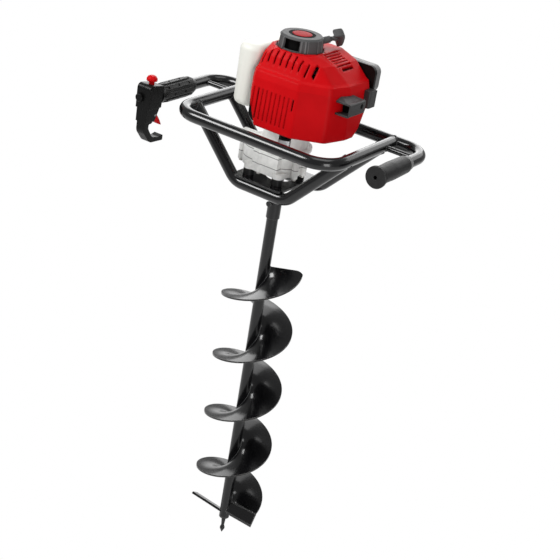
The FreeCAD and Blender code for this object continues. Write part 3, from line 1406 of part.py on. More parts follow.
def make_cover():
    wall = COVER_WALL
    rear_wall = block(
        COVER_LEFT_X,
        COVER_RIGHT_X,
        COVER_REAR_Y - 2 * wall,
        COVER_REAR_Y - wall,
        COVER_BOTTOM_Z,
        COVER_TOP_Z,
    )
    rear_opening = block(
        CARB_X - CARB_WIDTH / 2 - COVER_HOLE_GAP,
        CARB_X + CARB_WIDTH / 2 + COVER_HOLE_GAP,
        COVER_REAR_Y - 3 * wall,
        COVER_REAR_Y + 1,
        COVER_BOTTOM_Z - 1,
        BORE_Z + CARB_HEIGHT / 2 + COVER_HOLE_GAP,
    )
    plug_start = V(CYLINDER_END_X - 4, 0, BORE_Z)
    plug_end = V(COVER_RIGHT_X + 5, 0, BORE_Z)
    tools = [
        cover_body(wall).cut(rear_wall),
        rear_opening,
        deck_hole(),
        cylinder(STARTER_FLANGE_RADIUS + SLIDE_GAP, COVER_CREST_Z, DECK_UNDER_Z),
        rod(PLUG_HEX / 2 + COVER_HOLE_GAP, plug_start, plug_end),
        snorkel_box(SLIDE_GAP),
    ]
    shell = cut_all(cover_body(0), tools + foot_corner_cuts() + louvres() + deck_slots())
    save("engine_cover", keep_largest(shell))


# ---- recoil starter ------------------------------------------------------------------------------
def rope_direction():
    angle = math.radians(ROPE_ANGLE)
    rise = math.radians(ROPE_RISE)
    return V(math.cos(angle) * math.cos(rise), math.sin(angle) * math.cos(rise), math.sin(rise))


def rope_point(distance):
    """Point on the line of the starter rope, at a distance from the drive axis."""
    middle = V(0, 0, PULLEY_TOP_Z - PULLEY_HEIGHT / 2 - ROPE_DIP)
    return middle + rope_direction() * distance


def make_starter():
    base = DECK_UNDER_Z - FAN_CASE_FLANGE
    top = STARTER_TOP_Z
    wall = STARTER_WALL
    profile = [
        (STARTER_FLANGE_RADIUS, base),
        (STARTER_FLANGE_RADIUS, DECK_UNDER_Z),
        (STARTER_BASE_RADIUS, DECK_UNDER_Z),
        (STARTER_RADIUS, top - STARTER_EDGE),
        (STARTER_RADIUS - STARTER_EDGE, top),
        (BADGE_RADIUS, top),
        (BADGE_RADIUS, top - BADGE_THICK),
        (0, top - BADGE_THICK),
        (0, PULLEY_TOP_Z - PULLEY_HEIGHT - 2),
        (STARTER_POST_RADIUS, PULLEY_TOP_Z - PULLEY_HEIGHT - 2),
        (STARTER_POST_RADIUS, top - BADGE_THICK - wall),
        (STARTER_RADIUS - wall, top - BADGE_THICK - wall),
        (STARTER_BASE_RADIUS - wall, base),
    ]
    body = turned(profile)
    inner = STARTER_RADIUS - wall - 6
    for i in range(STARTER_WINDOWS):
        window = wedge(
            inner,
            STARTER_BASE_RADIUS + 1,
            STARTER_WINDOW_ARC,
            DECK_UNDER_Z + STARTER_WINDOW_MARGIN,
            top - STARTER_WINDOW_MARGIN,
        )
        window.rotate(ORIGIN, Z_AXIS, STARTER_FIRST_WINDOW - i * STARTER_WINDOW_STEP)
        body = body.cut(window)
    guide = rod(GUIDE_OD / 2, rope_point(STARTER_RADIUS - wall), rope_point(GUIDE_END))
    inside = cylinder(STARTER_RADIUS - wall, base, top - BADGE_THICK - wall)
    bore = rod(ROPE_OD / 2 + SLIDE_GAP, rope_point(STARTER_RADIUS - 3 * wall), rope_point(GUIDE_END + 1))
    save("starter_cover", body.fuse(guide.cut(inside)).cut(bore).removeSplitter())
    save("starter_badge", cylinder(BADGE_RADIUS, top - BADGE_THICK, top))


def wedge(inner, outer, arc, z0, z1):
    """Part of a ring, centred on +X."""
    half = math.radians(arc / 2)
    corner = outer / math.cos(half)
    outline = [V(0, 0, z0), V(outer, -outer * math.tan(half), z0), V(outer, outer * math.tan(half), z0)]
    sector = Part.Face(Part.makePolygon(outline + outline[:1])).extrude(V(0, 0, z1 - z0))
    sector = sector.common(cylinder(corner, z0, z1))
    return sector.cut(cylinder(inner, z0, z1))


def make_pulley():
    top = PULLEY_TOP_Z
    low = top - PULLEY_HEIGHT
    bore = STARTER_POST_RADIUS + RUN_FIT
    floor = PULLEY_RADIUS - ROPE_OD * 1.5
    profile = [
        (bore, low),
        (PULLEY_RADIUS, low),
        (PULLEY_RADIUS, low + PULLEY_RIM),
        (floor, low + PULLEY_RIM),
        (floor, top - PULLEY_RIM),
        (PULLEY_RADIUS, top - PULLEY_RIM),
        (PULLEY_RADIUS, top),
        (bore, top),
    ]
    save("starter_pulley", turned(profile))


def make_pull_handle():
    """Hub on the rope and a bowed cross bar, built with the rope along +X and then turned."""
    hub = rod(PULL_HUB_OD / 2, V(0, 0, 0), V(PULL_HUB_LENGTH, 0, 0))
    half = PULL_BAR_LENGTH / 2
    x0 = PULL_HUB_LENGTH - PULL_BAR_DEPTH / 2
    x1 = x0 + PULL_BAR_DEPTH
    y0 = -PULL_BAR_WIDTH / 2
    hook = PULL_BAR_HOOK
    corners = [
        V(x0, y0, -half + hook),
        V(x0 - hook, y0, -half + hook * 0.7),
        V(x0 - hook, y0, -half - hook * 0.4),
        V(x0 + 2, y0, -half - hook * 0.4),
        V(x1, y0, -half + hook),
        V(x1, y0, half - hook),
        V(x0 + 2, y0, half + hook * 0.4),
        V(x0 - hook, y0, half + hook * 0.4),
        V(x0 - hook, y0, half - hook * 0.7),
        V(x0, y0, half - hook),
    ]
    radii = [5, 1.5, 1.5, 6, 8, 8, 6, 1.5, 1.5, 5]
    bar = plate(corners, radii, V(0, PULL_BAR_WIDTH, 0))
    handle = fuse([hub, bar])
    handle.rotate(ORIGIN, X_AXIS, PULL_TILT)
    handle.rotate(ORIGIN, Y_AXIS, -ROPE_RISE)
    handle.rotate(ORIGIN, Z_AXIS, ROPE_ANGLE)
    handle.translate(rope_point(GUIDE_END + SLIDE_GAP))
    rope = rod(ROPE_OD / 2, rope_point(PULLEY_RADIUS + ROPE_OD), rope_point(GUIDE_END + SLIDE_GAP))
    save("starter_handle", handle)
    save("starter_rope", rope)


# ---- fuel tank -----------------------------------------------------------------------------------
def tank_body(inset):
    corners = [
        (TANK_LEFT_X + inset, TANK_FRONT_Y + inset),
        (TANK_RIGHT_X - inset, TANK_FRONT_Y + inset),
        (TANK_RIGHT_X - inset, TANK_REAR_Y - inset),
        (TANK_LEFT_X + inset, TANK_REAR_Y - inset),
    ]
    edge = TANK_EDGE - inset
    body = upright(corners, [edge] * 4, TANK_BOTTOM_Z + inset, TANK_TOP_Z - inset)
    rims = [e for e in body.Edges if abs(e.BoundBox.ZMax - e.BoundBox.ZMin) < 0.01]
    return body.makeFillet(edge * 0.6, rims)


def filler_rod(radius, x0, x1):
    z = TANK_TOP_Z - FILLER_DROP
    return rod(radius, V(x0, FILLER_Y, z), V(x1, FILLER_Y, z))


def make_tank():
    neck_end = TANK_LEFT_X - FILLER_HEIGHT
    shell = tank_body(0).cut(tank_body(TANK_WALL))
    neck = filler_rod(FILLER_OD / 2, TANK_LEFT_X + TANK_WALL, neck_end)
    bore = filler_rod(FILLER_OD / 2 - TANK_WALL, TANK_LEFT_X + TANK_WALL + 1, neck_end)
    save("fuel_tank", shell.fuse(neck).cut(bore).removeSplitter())
    cap_start = TANK_LEFT_X - SLIDE_GAP
    cap = filler_rod(CAP_OD / 2, cap_start, cap_start - CAP_HEIGHT)
    cap = cap.cut(filler_rod(FILLER_OD / 2 + SLIDE_GAP, cap_start, neck_end - SLIDE_GAP))
    z = TANK_TOP_Z - FILLER_DROP
    for i in range(CAP_GRIPS):
        angle = math.radians(360 * i / CAP_GRIPS)
        y = FILLER_Y + CAP_OD / 2 * math.cos(angle)
        grip_z = z + CAP_OD / 2 * math.sin(angle)
        start = V(cap_start - 3, y, grip_z)
        cap = cap.cut(rod(CAP_GRIP_RADIUS, start, start - V(CAP_HEIGHT, 0, 0)))
    save("fuel_cap", cap)
    bracket = block(
        TANK_LEFT_X + TANK_EDGE,
        0,
        -BRACKET_HALF_WIDTH,
        BRACKET_HALF_WIDTH,
        TANK_BOTTOM_Z - BRACKET_THICK,
        TANK_BOTTOM_Z,
    )
    bracket = bracket.cut(cylinder(CRANK_CASE_RADIUS, CRANK_CASE_Z, CRANK_CASE_TOP_Z))
    save("tank_bracket", keep_largest(bracket))


# ---- carburettor and air filter ------------------------------------------------------------------
def intake_box(half_width, half_height, y0, y1):
    return block(CARB_X - half_width, CARB_X + half_width, y0, y1, BORE_Z - half_height, BORE_Z + half_height)


def intake_bore(y0, y1):
    return rod(INTAKE_RADIUS, V(CARB_X, y0, BORE_Z), V(CARB_X, y1, BORE_Z))


def make_carburettor():
    start = FIN_HALF_WIDTH
    flange = block(
        CARB_X - PORT_HALF - 3,
        CARB_X + PORT_HALF + 3,
        start,
        start + CARB_FLANGE,
        BORE_Z - PORT_HALF,
        BORE_Z + PORT_HALF,
    )
    body = intake_box(CARB_WIDTH / 2, CARB_HEIGHT / 2, start + CARB_FLANGE, CARB_REAR_Y)
    middle_y = (start + CARB_FLANGE + CARB_REAR_Y) / 2
    bowl_top = BORE_Z - CARB_HEIGHT / 2
    bowl = cylinder(CARB_WIDTH / 2 - 3, bowl_top - CARB_BOWL, bowl_top, CARB_X, middle_y)
    save("carburettor", fuse([flange, body, bowl]).cut(intake_bore(start, CARB_REAR_Y)))


def filter_outline(inset, y, low, high):
    return [
        V(FILTER_LEFT_X + inset, y, low + inset),
        V(FILTER_RIGHT_X - inset, y, low + inset),
        V(FILTER_RIGHT_X - inset, y, high - inset),
        V(FILTER_LEFT_X + inset, y, high - inset),
    ]


def make_air_filter():
    low = BORE_Z - CARB_HEIGHT / 2
    radii = [FILTER_CORNER] * 4
    base = plate(filter_outline(0, CARB_REAR_Y, low, FILTER_TOP_Z), radii, V(0, FILTER_BASE, 0))
    start = CARB_REAR_Y + FILTER_BASE
    base = base.cut(intake_bore(CARB_REAR_Y, start))
    pivot = choke_pivot(CARB_REAR_Y)
    base = base.cut(rod(CHOKE_OD / 2 + RUN_FIT, pivot, pivot + V(0, FILTER_BASE, 0)))
    save("air_filter_base", base)
    outline = filter_outline(0, start, FILTER_BOTTOM_Z, FILTER_TOP_Z)
    outer = plate(outline, radii, V(0, FILTER_DEPTH, 0))
    back_edges = [e for e in outer.Edges if e.BoundBox.YMin > start + FILTER_DEPTH - 0.01]
    outer = outer.makeFillet(FILTER_CORNER * 0.6, back_edges)
    inner = plate(
        filter_outline(FILTER_WALL, start, FILTER_BOTTOM_Z, FILTER_TOP_Z),
        [FILTER_CORNER - FILTER_WALL] * 4,
        V(0, FILTER_DEPTH - FILTER_WALL, 0),
    )
    save("air_filter_cover", outer.cut(inner))
    snorkel = snorkel_box(0)
    uprights = [e for e in snorkel.Edges if e.BoundBox.ZLength > SNORKEL_HEIGHT - 0.01]
    snorkel = snorkel.makeFillet(4, [e for e in uprights if e.BoundBox.YMin < CARB_REAR_Y - 1])
    save("intake_snorkel", snorkel)


def snorkel_box(grown):
    return block(
        FILTER_RIGHT_X - SNORKEL_LENGTH + SNORKEL_OUT - grown,
        FILTER_RIGHT_X + SNORKEL_OUT + grown,
        CARB_REAR_Y - SNORKEL_DEPTH - grown,
        CARB_REAR_Y + grown,
        SNORKEL_Z - grown,
        SNORKEL_Z + SNORKEL_HEIGHT + grown,
    )


def choke_pivot(y):
    return V(CHOKE_X, y, FILTER_BOTTOM_Z - 2 * CHOKE_OD)


def make_choke():
    pivot = choke_pivot(CARB_REAR_Y + FILTER_BASE)
    stem = rod(CHOKE_OD / 2, pivot - V(0, FILTER_BASE, 0), pivot + V(0, SLIDE_GAP, 0))
    out = pivot + V(0, SLIDE_GAP, 0)
    hub = rod(CHOKE_OD, out, out + V(0, CHOKE_THICK, 0))
    arm = block(0, CHOKE_ARM, 0, CHOKE_THICK, -CHOKE_OD / 2, CHOKE_OD / 2)
    arm.translate(out)
    tab = block(CHOKE_ARM - 3, CHOKE_ARM, 0, 3 * CHOKE_THICK, -CHOKE_OD / 2, CHOKE_OD / 2)
    tab.translate(out)
    save("choke_lever", fuse([stem, hub, arm, tab]))


# ---- plug cover ----------------------------------------------------------------------------------
def make_plug_cover():
    x0 = CYLINDER_END_X - 12
    x1 = PLUG_COVER_END_X
    y0 = PLUG_COVER_FRONT_Y
    y1 = PLUG_COVER_REAR_Y
    low = PLUG_COVER_BOTTOM_Z
    eave = PLUG_COVER_EAVE_Z
    side = [
        V(x0, y0, low),
        V(x1, y0, low),
        V(x1, y0, eave),
        V(x0, y0, eave),
    ]
    body = plate(side, [0, 5, 4, 0], V(0, y1 - y0, 0))
    gable = [V(x0, y0, eave), V(x1 - 8, y0, eave), V(x1 - 8, y1, eave), V(x0, y1, eave)]
    peak = V(x0, (y0 + y1) / 2, PLUG_COVER_PEAK_Z)
    roof = pyramid(gable, peak)
    wall = PLUG_COVER_WALL
    hollow = block(x0, x1 - wall, y0 - 1, y1 - wall, low + wall, eave - wall)
    hole_z = (low + eave) / 2 + 3
    hole = rod(PLUG_COVER_HOLE_OD / 2, V(x1 - 2 * wall, y1 - 12, hole_z), V(x1 + 1, y1 - 12, hole_z))
    whole = cut_all(fuse([body, roof]), [hollow, hole, cover_body(0)])
    save("plug_cover", keep_largest(whole))
    boot_start = V(CYLINDER_END_X + PLUG_HEX_LENGTH + SLIDE_GAP, 0, BORE_Z)
    tip = V(CYLINDER_END_X + PLUG_HEX_LENGTH + PLUG_TIP_LENGTH, 0, BORE_Z)
    boot = rod(PLUG_TIP_OD / 2 + PLUG_BOOT_WALL, boot_start, tip + V(4, 0, 0))
    save("plug_boot", boot.cut(rod(PLUG_TIP_OD / 2, boot_start, tip)))


def pyramid(base, peak):
    faces = [Part.Face(Part.makePolygon(base + base[:1]))]
    for i in range(len(base)):
        corners = [base[i], base[(i + 1) % len(base)], peak]
        faces.append(Part.Face(Part.makePolygon(corners + corners[:1])))
    solid = Part.Solid(Part.Shell(faces))
    if solid.Volume < 0:
        solid.reverse()
    return solid


os.makedirs("parts", exist_ok=True)
make_frame()
make_right_grip()
make_left_grip()
make_throttle_housing()
make_trigger()
make_buttons()
make_bit_shaft()
make_flight()
make_blades()
make_pilot()
make_output()
make_layshaft()
make_drum()
make_clutch_shoes()
make_gear_case()
make_mounting()
make_clutch_case()
make_crankcase()
make_crankshaft()
make_cylinder()
make_spark_plug()
make_muffler()
make_flywheel()
make_fan_case()
make_coil()
make_cover()
make_starter()
make_pulley()
make_pull_handle()
make_tank()
make_carburettor()
make_air_filter()
make_choke()
make_plug_cover()
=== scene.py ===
"""Looks of the petrol earth auger. Everything is in metres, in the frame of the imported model."""
import json
import math

import bmesh
import bpy
from mathutils import Matrix, Vector
from mathutils.bvhtree import BVHTree


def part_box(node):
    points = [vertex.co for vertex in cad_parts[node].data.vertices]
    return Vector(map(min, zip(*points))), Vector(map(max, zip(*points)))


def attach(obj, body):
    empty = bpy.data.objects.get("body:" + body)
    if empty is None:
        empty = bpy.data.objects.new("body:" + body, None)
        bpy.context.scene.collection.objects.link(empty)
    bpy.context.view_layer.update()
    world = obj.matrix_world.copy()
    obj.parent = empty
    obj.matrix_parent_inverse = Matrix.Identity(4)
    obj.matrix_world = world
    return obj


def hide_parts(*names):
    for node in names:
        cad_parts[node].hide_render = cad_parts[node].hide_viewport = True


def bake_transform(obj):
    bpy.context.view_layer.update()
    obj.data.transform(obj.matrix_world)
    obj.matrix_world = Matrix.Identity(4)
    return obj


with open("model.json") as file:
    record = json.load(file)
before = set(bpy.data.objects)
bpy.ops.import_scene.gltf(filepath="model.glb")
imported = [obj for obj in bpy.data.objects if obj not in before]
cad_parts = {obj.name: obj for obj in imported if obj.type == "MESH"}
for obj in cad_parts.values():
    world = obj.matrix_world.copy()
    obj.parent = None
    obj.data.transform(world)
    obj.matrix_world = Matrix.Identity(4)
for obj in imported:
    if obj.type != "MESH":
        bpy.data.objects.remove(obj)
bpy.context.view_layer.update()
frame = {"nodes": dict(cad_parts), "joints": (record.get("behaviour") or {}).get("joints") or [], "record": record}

NODES = frame["nodes"]
TURN = 2 * math.pi
X_AXIS, Y_AXIS, Z_AXIS = Vector((1, 0, 0)), Vector((0, 1, 0)), Vector((0, 0, 1))


# ---- camera and studio ---------------------------------------------------------------------------
# The photo's view. The camera looks at AIM from DISTANCE away.
AZIMUTH, ELEVATION, ROLL = math.radians(31.188), math.radians(29.839), math.radians(9.25)
AIM, DISTANCE = Vector((0, 0, 0.45)), 2.4024
LENS_MM, SENSOR_MM = 77.71, 36
SHIFT = (0.0529, 0.1320)

WHITE = (1, 1, 1, 1)
FLOOR_GREY = (0.8, 0.8, 0.8, 1)
FLOOR_REACH, FLOOR_Z = 6, -0.0005
WORLD_LIGHT = 0.31              # strength of the world as light on the object
SEEN_WHITE = 1.0                # strength of the world and floor as the camera sees them
# Name, place, aim, size and power in watts.
LIGHTS = (
    ("key", (-1.5, -1.7, 2.8), (0, 0, 0.8), (1.4, 1.0), 64),
    ("fill", (2.4, -1.6, 1.2), (0, 0, 0.7), (0.9, 2.0), 28),
    ("rim", (0.6, 2.4, 2.2), (0, 0, 0.8), (2.0, 1.0), 10),
    ("back_panel", (-1.35, 2.2, 1.75), (0, 0, 0.4), (2.4, 1.8), 34),
    ("top", (0.2, 0.1, 3.0), (0, 0, 0.9), (1.2, 1.2), 10),
)


def make_camera():
    back = Vector((
        math.sin(AZIMUTH) * math.cos(ELEVATION),
        -math.cos(AZIMUTH) * math.cos(ELEVATION),
        math.sin(ELEVATION),
    ))
    right = Vector((math.cos(AZIMUTH), math.sin(AZIMUTH), 0))
    up = back.cross(right)
    cam_x = right * math.cos(ROLL) + up * math.sin(ROLL)
    cam_y = up * math.cos(ROLL) - right * math.sin(ROLL)
    data = bpy.data.cameras.new("camera")
    data.lens = LENS_MM
    data.sensor_width = SENSOR_MM
    data.shift_x, data.shift_y = SHIFT
    camera = bpy.data.objects.new("camera", data)
    bpy.context.scene.collection.objects.link(camera)
    place = Matrix((cam_x, cam_y, back)).transposed().to_4x4()
    place.translation = AIM + back * DISTANCE
    camera.matrix_world = place
    bpy.context.scene.camera = camera


def area_light(name, place, target, size, power):
    data = bpy.data.lights.new(name, "AREA")
    data.shape = "RECTANGLE"
    data.size, data.size_y = size
    data.energy = power
    light = bpy.data.objects.new(name, data)
    bpy.context.scene.collection.objects.link(light)
    light.location = place
    light.rotation_euler = (Vector(target) - Vector(place)).to_track_quat("-Z", "Y").to_euler()


def new_material(name):
    mat = bpy.data.materials.new(name)
    mat.use_nodes = True
    mat.node_tree.nodes.clear()
    return mat, mat.node_tree.nodes, mat.node_tree.links


def add_node(nodes, kind, inputs=None):
    """New shader node, with some of its inputs set."""
    node = nodes.new("ShaderNode" + kind)
    for key, value in (inputs or {}).items():
        node.inputs[key].default_value = value
    return node


def camera_switch(nodes, links, lit, seen, out):
    """The camera sees the shader `seen`, and every other ray meets `lit`."""
    path = add_node(nodes, "LightPath")
    mix = add_node(nodes, "MixShader")
    links.new(path.outputs["Is Camera Ray"], mix.inputs[0])
    links.new(lit.outputs[0], mix.inputs[1])
    links.new(seen.outputs[0], mix.inputs[2])
    links.new(mix.outputs[0], out.inputs["Surface"])


def make_studio():
    scene = bpy.context.scene
    scene.view_settings.view_transform = "Standard"

    world = bpy.data.worlds.new("studio")
    scene.world = world
    world.use_nodes = True
    nodes, links = world.node_tree.nodes, world.node_tree.links
    nodes.clear()
    out = add_node(nodes, "OutputWorld")
    lit = add_node(nodes, "Background", {"Color": WHITE, "Strength": WORLD_LIGHT})
    seen = add_node(nodes, "Background", {"Color": WHITE, "Strength": SEEN_WHITE})
    camera_switch(nodes, links, lit, seen, out)

    mesh = bpy.data.meshes.new("floor")
    corners = [(-1, -1), (1, -1), (1, 1), (-1, 1)]
    verts = [(FLOOR_REACH * x, FLOOR_REACH * y, FLOOR_Z) for x, y in corners]
    mesh.from_pydata(verts, [], [(0, 1, 2, 3)])
    floor = bpy.data.objects.new("floor", mesh)
    scene.collection.objects.link(floor)
    mat, nodes, links = new_material("floor_white")
    out = add_node(nodes, "OutputMaterial")
    matte = add_node(nodes, "BsdfDiffuse", {"Color": FLOOR_GREY})
    glow = add_node(nodes, "Emission", {"Color": WHITE, "Strength": SEEN_WHITE})
    camera_switch(nodes, links, matte, glow, out)
    mesh.materials.append(mat)

    for settings in LIGHTS:
        area_light(*settings)


# ---- materials -----------------------------------------------------------------------------------
COAT_ROUGH = 0.12
GLOSS_SPREAD = 0.06             # how far roughness varies to each side
BEVEL_SAMPLES = 6
RUB_NOISE_SCALE, RUB_NOISE_GAIN = 260, 0.16
# Of the softened and true normals' dot product plus the noise.
WORN_BELOW, SOUND_ABOVE = 0.96, 1.0
PARTING_HALF_WIDTH = 0.00055
PARTING_COLOUR = (0.05, 0.05, 0.05)
SLOW_DETAIL, RUB_DETAIL, GRAIN_DETAIL = 4, 3, 2
# ShaderNodeMix has a set of sockets for each data type. These are the ones for colours.
MIX_FIRST, MIX_SECOND, MIX_RESULT = 6, 7, 2


def noise(nodes, links, place, scale, detail):
    texture = add_node(nodes, "TexNoise", {"Scale": scale, "Detail": detail})
    links.new(place, texture.inputs["Vector"])
    return texture.outputs["Fac"]


def calculate(nodes, links, operation, *terms):
    """Math node. Each term is a socket or a number."""
    node = add_node(nodes, "Math")
    node.operation = operation
    for socket, term in zip(node.inputs, terms):
        if isinstance(term, (int, float)):
            socket.default_value = term
        else:
            links.new(term, socket)
    return node.outputs[0]


def colour_ramp(nodes, links, source, stops):
    """Ramp with two stops: ((position, colour), (position, colour))."""
    ramp = add_node(nodes, "ValToRGB")
    for element, (position, colour) in zip(ramp.color_ramp.elements, stops):
        element.position = position
        element.color = (*colour, 1)
    links.new(source, ramp.inputs["Fac"])
    return ramp.outputs["Color"]


def blend_colour(nodes, links, mask, first, second):
    """The socket `first` where the mask is 0, and the plain colour `second` where it is 1."""
    mix = add_node(nodes, "Mix")
    mix.data_type = "RGBA"
    links.new(mask, mix.inputs[0])
    links.new(first, mix.inputs[MIX_FIRST])
    mix.inputs[MIX_SECOND].default_value = (*second, 1)
    return mix.outputs[MIX_RESULT]


def rubbed_edges(nodes, links, place, soft):
    """Mask of the edges, where the softened normal leaves the true one, broken up by noise."""
    true = add_node(nodes, "NewGeometry")
    turned = add_node(nodes, "VectorMath")
    turned.operation = "DOT_PRODUCT"
    links.new(soft, turned.inputs[0])
    links.new(true.outputs["Normal"], turned.inputs[1])
    rub = noise(nodes, links, place, RUB_NOISE_SCALE, RUB_DETAIL)
    patchy = calculate(
        nodes, links, "MULTIPLY_ADD", rub, RUB_NOISE_GAIN, turned.outputs["Value"],
    )
    return colour_ramp(nodes, links, patchy, ((WORN_BELOW, (1, 1, 1)), (SOUND_ABOVE, (0, 0, 0))))


def surface(
    name, colour, rough=0.4, metal=0.0, vary=0.12, scale=60.0, grain=900.0, bump=0.02,
    coat=0.0, spec=0.5, edge=0.0008, worn=None, joints=(),
):
    """Procedural finish: slow colour and gloss variation, a fine moulded or sprayed grain and
    softened edges. `worn` is the colour of rubbed edges, and `joints` gives the heights of dark
    parting lines."""
    mat, nodes, links = new_material(name)
    out = add_node(nodes, "OutputMaterial")
    shader = add_node(nodes, "BsdfPrincipled", {
        "Metallic": metal,
        "Coat Weight": coat,
        "Coat Roughness": COAT_ROUGH,
        "Specular IOR Level": spec,
    })
    links.new(shader.outputs[0], out.inputs["Surface"])
    place = add_node(nodes, "TexCoord").outputs["Object"]

    slow = noise(nodes, links, place, scale, SLOW_DETAIL)
    dark = [c * (1 - vary) for c in colour]
    light = [min(c * (1 + vary), 1) for c in colour]
    paint = colour_ramp(nodes, links, slow, ((0.3, dark), (0.7, light)))
    bevel = add_node(nodes, "Bevel", {"Radius": edge})
    bevel.samples = BEVEL_SAMPLES
    soft = bevel.outputs["Normal"]
    if worn:
        rubbed = rubbed_edges(nodes, links, place, soft)
        paint = blend_colour(nodes, links, rubbed, paint, worn)
    if joints:
        split = add_node(nodes, "SeparateXYZ")
        links.new(place, split.inputs[0])
        for height in joints:
            away = calculate(nodes, links, "SUBTRACT", split.outputs["Z"], height)
            near = calculate(nodes, links, "COMPARE", away, 0, PARTING_HALF_WIDTH)
            paint = blend_colour(nodes, links, near, paint, PARTING_COLOUR)
    links.new(paint, shader.inputs["Base Color"])

    gloss = add_node(nodes, "MapRange", {
        "To Min": max(rough - GLOSS_SPREAD, 0.02),
        "To Max": rough + GLOSS_SPREAD,
    })
    links.new(slow, gloss.inputs["Value"])
    links.new(gloss.outputs["Result"], shader.inputs["Roughness"])
    relief = add_node(nodes, "Bump", {"Strength": bump, "Distance": 0.001})
    fine = noise(nodes, links, place, grain, GRAIN_DETAIL)
    links.new(fine, relief.inputs["Height"])
    links.new(soft, relief.inputs["Normal"])
    links.new(relief.outputs["Normal"], shader.inputs["Normal"])
    return mat


CASE_SPLITS = (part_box("gear_case_middle")[0].z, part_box("gear_case_middle")[1].z)
PAINT_WORN, STEEL_WORN = (0.05, 0.05, 0.05), (0.30, 0.29, 0.28)
FINISH = {
    "red_plastic": surface(
        "red_plastic_finish", (0.55, 0.0025, 0.005), rough=0.42, vary=0.06, scale=22,
        grain=1500, bump=0.05, spec=0.07, edge=0.0045,
    ),
    "frame_paint": surface(
        "frame_paint_finish", (0.003, 0.003, 0.0035), rough=0.2, vary=0.2, scale=40,
        grain=700, bump=0.04, coat=0.35, spec=0.4, worn=PAINT_WORN,
    ),
    "bit_paint": surface(
        "bit_paint_finish", (0.0025, 0.0025, 0.003), rough=0.2, vary=0.25, scale=30,
        grain=500, bump=0.05, coat=0.25, spec=0.4, worn=STEEL_WORN,
    ),
    "cast_alloy": surface(
        "cast_alloy_finish", (0.80, 0.80, 0.78), rough=0.5, metal=0.1, vary=0.08, scale=120,
        grain=1400, bump=0.3, joints=CASE_SPLITS,
    ),
    "steel": surface(
        "steel_finish", (0.45, 0.45, 0.46), rough=0.3, metal=0.95, vary=0.1, scale=150,
        grain=1800, bump=0.08, edge=0.0004,
    ),
    "zinc": surface(
        "zinc_finish", (0.55, 0.54, 0.5), rough=0.35, metal=0.9, vary=0.15, scale=200,
        grain=1500, bump=0.1, edge=0.0004,
    ),
    "bronze": surface(
        "bronze_finish", (0.45, 0.3, 0.14), rough=0.35, metal=0.9, vary=0.15, scale=200,
        grain=1500, bump=0.1, edge=0.0004,
    ),
    "rubber_black": surface(
        "rubber_black_finish", (0.008, 0.008, 0.008), rough=0.45, vary=0.25, scale=80,
        grain=1200, bump=0.2, spec=0.4, edge=0.0006,
    ),
    "dark_plastic": surface(
        "dark_plastic_finish", (0.036, 0.036, 0.037), rough=0.46, vary=0.15,
        grain=1600, bump=0.15, spec=0.45, edge=0.0012,
    ),
    "grey_plastic": surface(
        "grey_plastic_finish", (0.2, 0.2, 0.2), rough=0.5, vary=0.1, grain=1600, bump=0.12,
    ),
    "tank_plastic": surface(
        "tank_plastic_finish", (0.79, 0.79, 0.73), rough=0.42, vary=0.02, scale=30,
        grain=1000, bump=0.08, spec=0.35, edge=0.003,
    ),
    "iron": surface(
        "iron_finish", (0.09, 0.085, 0.08), rough=0.7, metal=0.3, vary=0.3, scale=150, bump=0.4,
    ),
    "rope_fibre": surface(
        "rope_fibre_finish", (0.7, 0.7, 0.66), rough=0.8, vary=0.15, scale=400,
        grain=2500, bump=0.5, edge=0.0002,
    ),
}
# Painted shade: dark matte materials for the sheets that stand for the shaded inside of the hood, the starter's
# windows and the plug cover. SHADOW_BLACK also gives the badge's ring and the fan housing their matte black.
SHADOW_RED = surface(
    "painted_shade_red", (0.055, 0.0025, 0.003), rough=0.8, vary=0.3, scale=50, bump=0.2, spec=0.1,
)
SHADOW_BLACK = surface(
    "black_and_painted_shade", (0.004, 0.004, 0.004), rough=0.8, vary=0.3, scale=50, bump=0.2, spec=0.1,
)
BADGE_RED = surface(
    "badge_red", (0.36, 0.006, 0.010), rough=0.55, scale=220, grain=1500, bump=0.04,
    spec=0.12, edge=0.0004,
)
GREY_CASE = surface(
    "grey_case", (0.075, 0.075, 0.076), rough=0.52, vary=0.1, grain=1600, bump=0.12,
    spec=0.28, edge=0.0014,
)
DRUM_RIB = surface(
    "drum_rib", (0.12, 0.12, 0.121), rough=0.42, vary=0.1, grain=1600, bump=0.12,
)
HOUSING_BLACK = surface(
    "housing_black", (0.004, 0.004, 0.004), rough=0.34, vary=0.2, grain=1600, bump=0.08,
    spec=0.16, edge=0.0014,
)
FILTER_GREY = surface(
    "filter_grey", (0.17, 0.17, 0.171), rough=0.42, vary=0.08, grain=1600, bump=0.12, edge=0.002,
)
WELD_METAL = surface(
    "weld_paint", (0.010, 0.010, 0.011), rough=0.3, vary=0.3, scale=300, bump=0.3, coat=0.3,
    edge=0.0002,
)

# CAD nodes whose finish isn't their slot's own.
SPECIAL = {
    "coupling_pin": FINISH["bit_paint"],
    "starter_cover": GREY_CASE,
    "starter_handle": GREY_CASE,
    "air_filter_cover": FILTER_GREY,
    "throttle_housing_inner": HOUSING_BLACK,
    "throttle_housing_outer": HOUSING_BLACK,
    "throttle_lock_button": HOUSING_BLACK,
    "starter_badge": SHADOW_BLACK,
    "fan_housing": SHADOW_BLACK,
    "tank_bracket": HOUSING_BLACK,
    "air_filter_base": HOUSING_BLACK,
}


def dress(obj, mat):
    if not obj.material_slots:
        obj.data.materials.append(None)
    for holder in obj.material_slots:
        holder.link = "OBJECT"
        holder.material = mat


def dress_nodes():
    slot_of = {entry["node"]: entry["material_slot"] for entry in frame["record"]["subparts"]}
    for name, node in NODES.items():
        dress(node, SPECIAL.get(name) or FINISH[slot_of[name]])


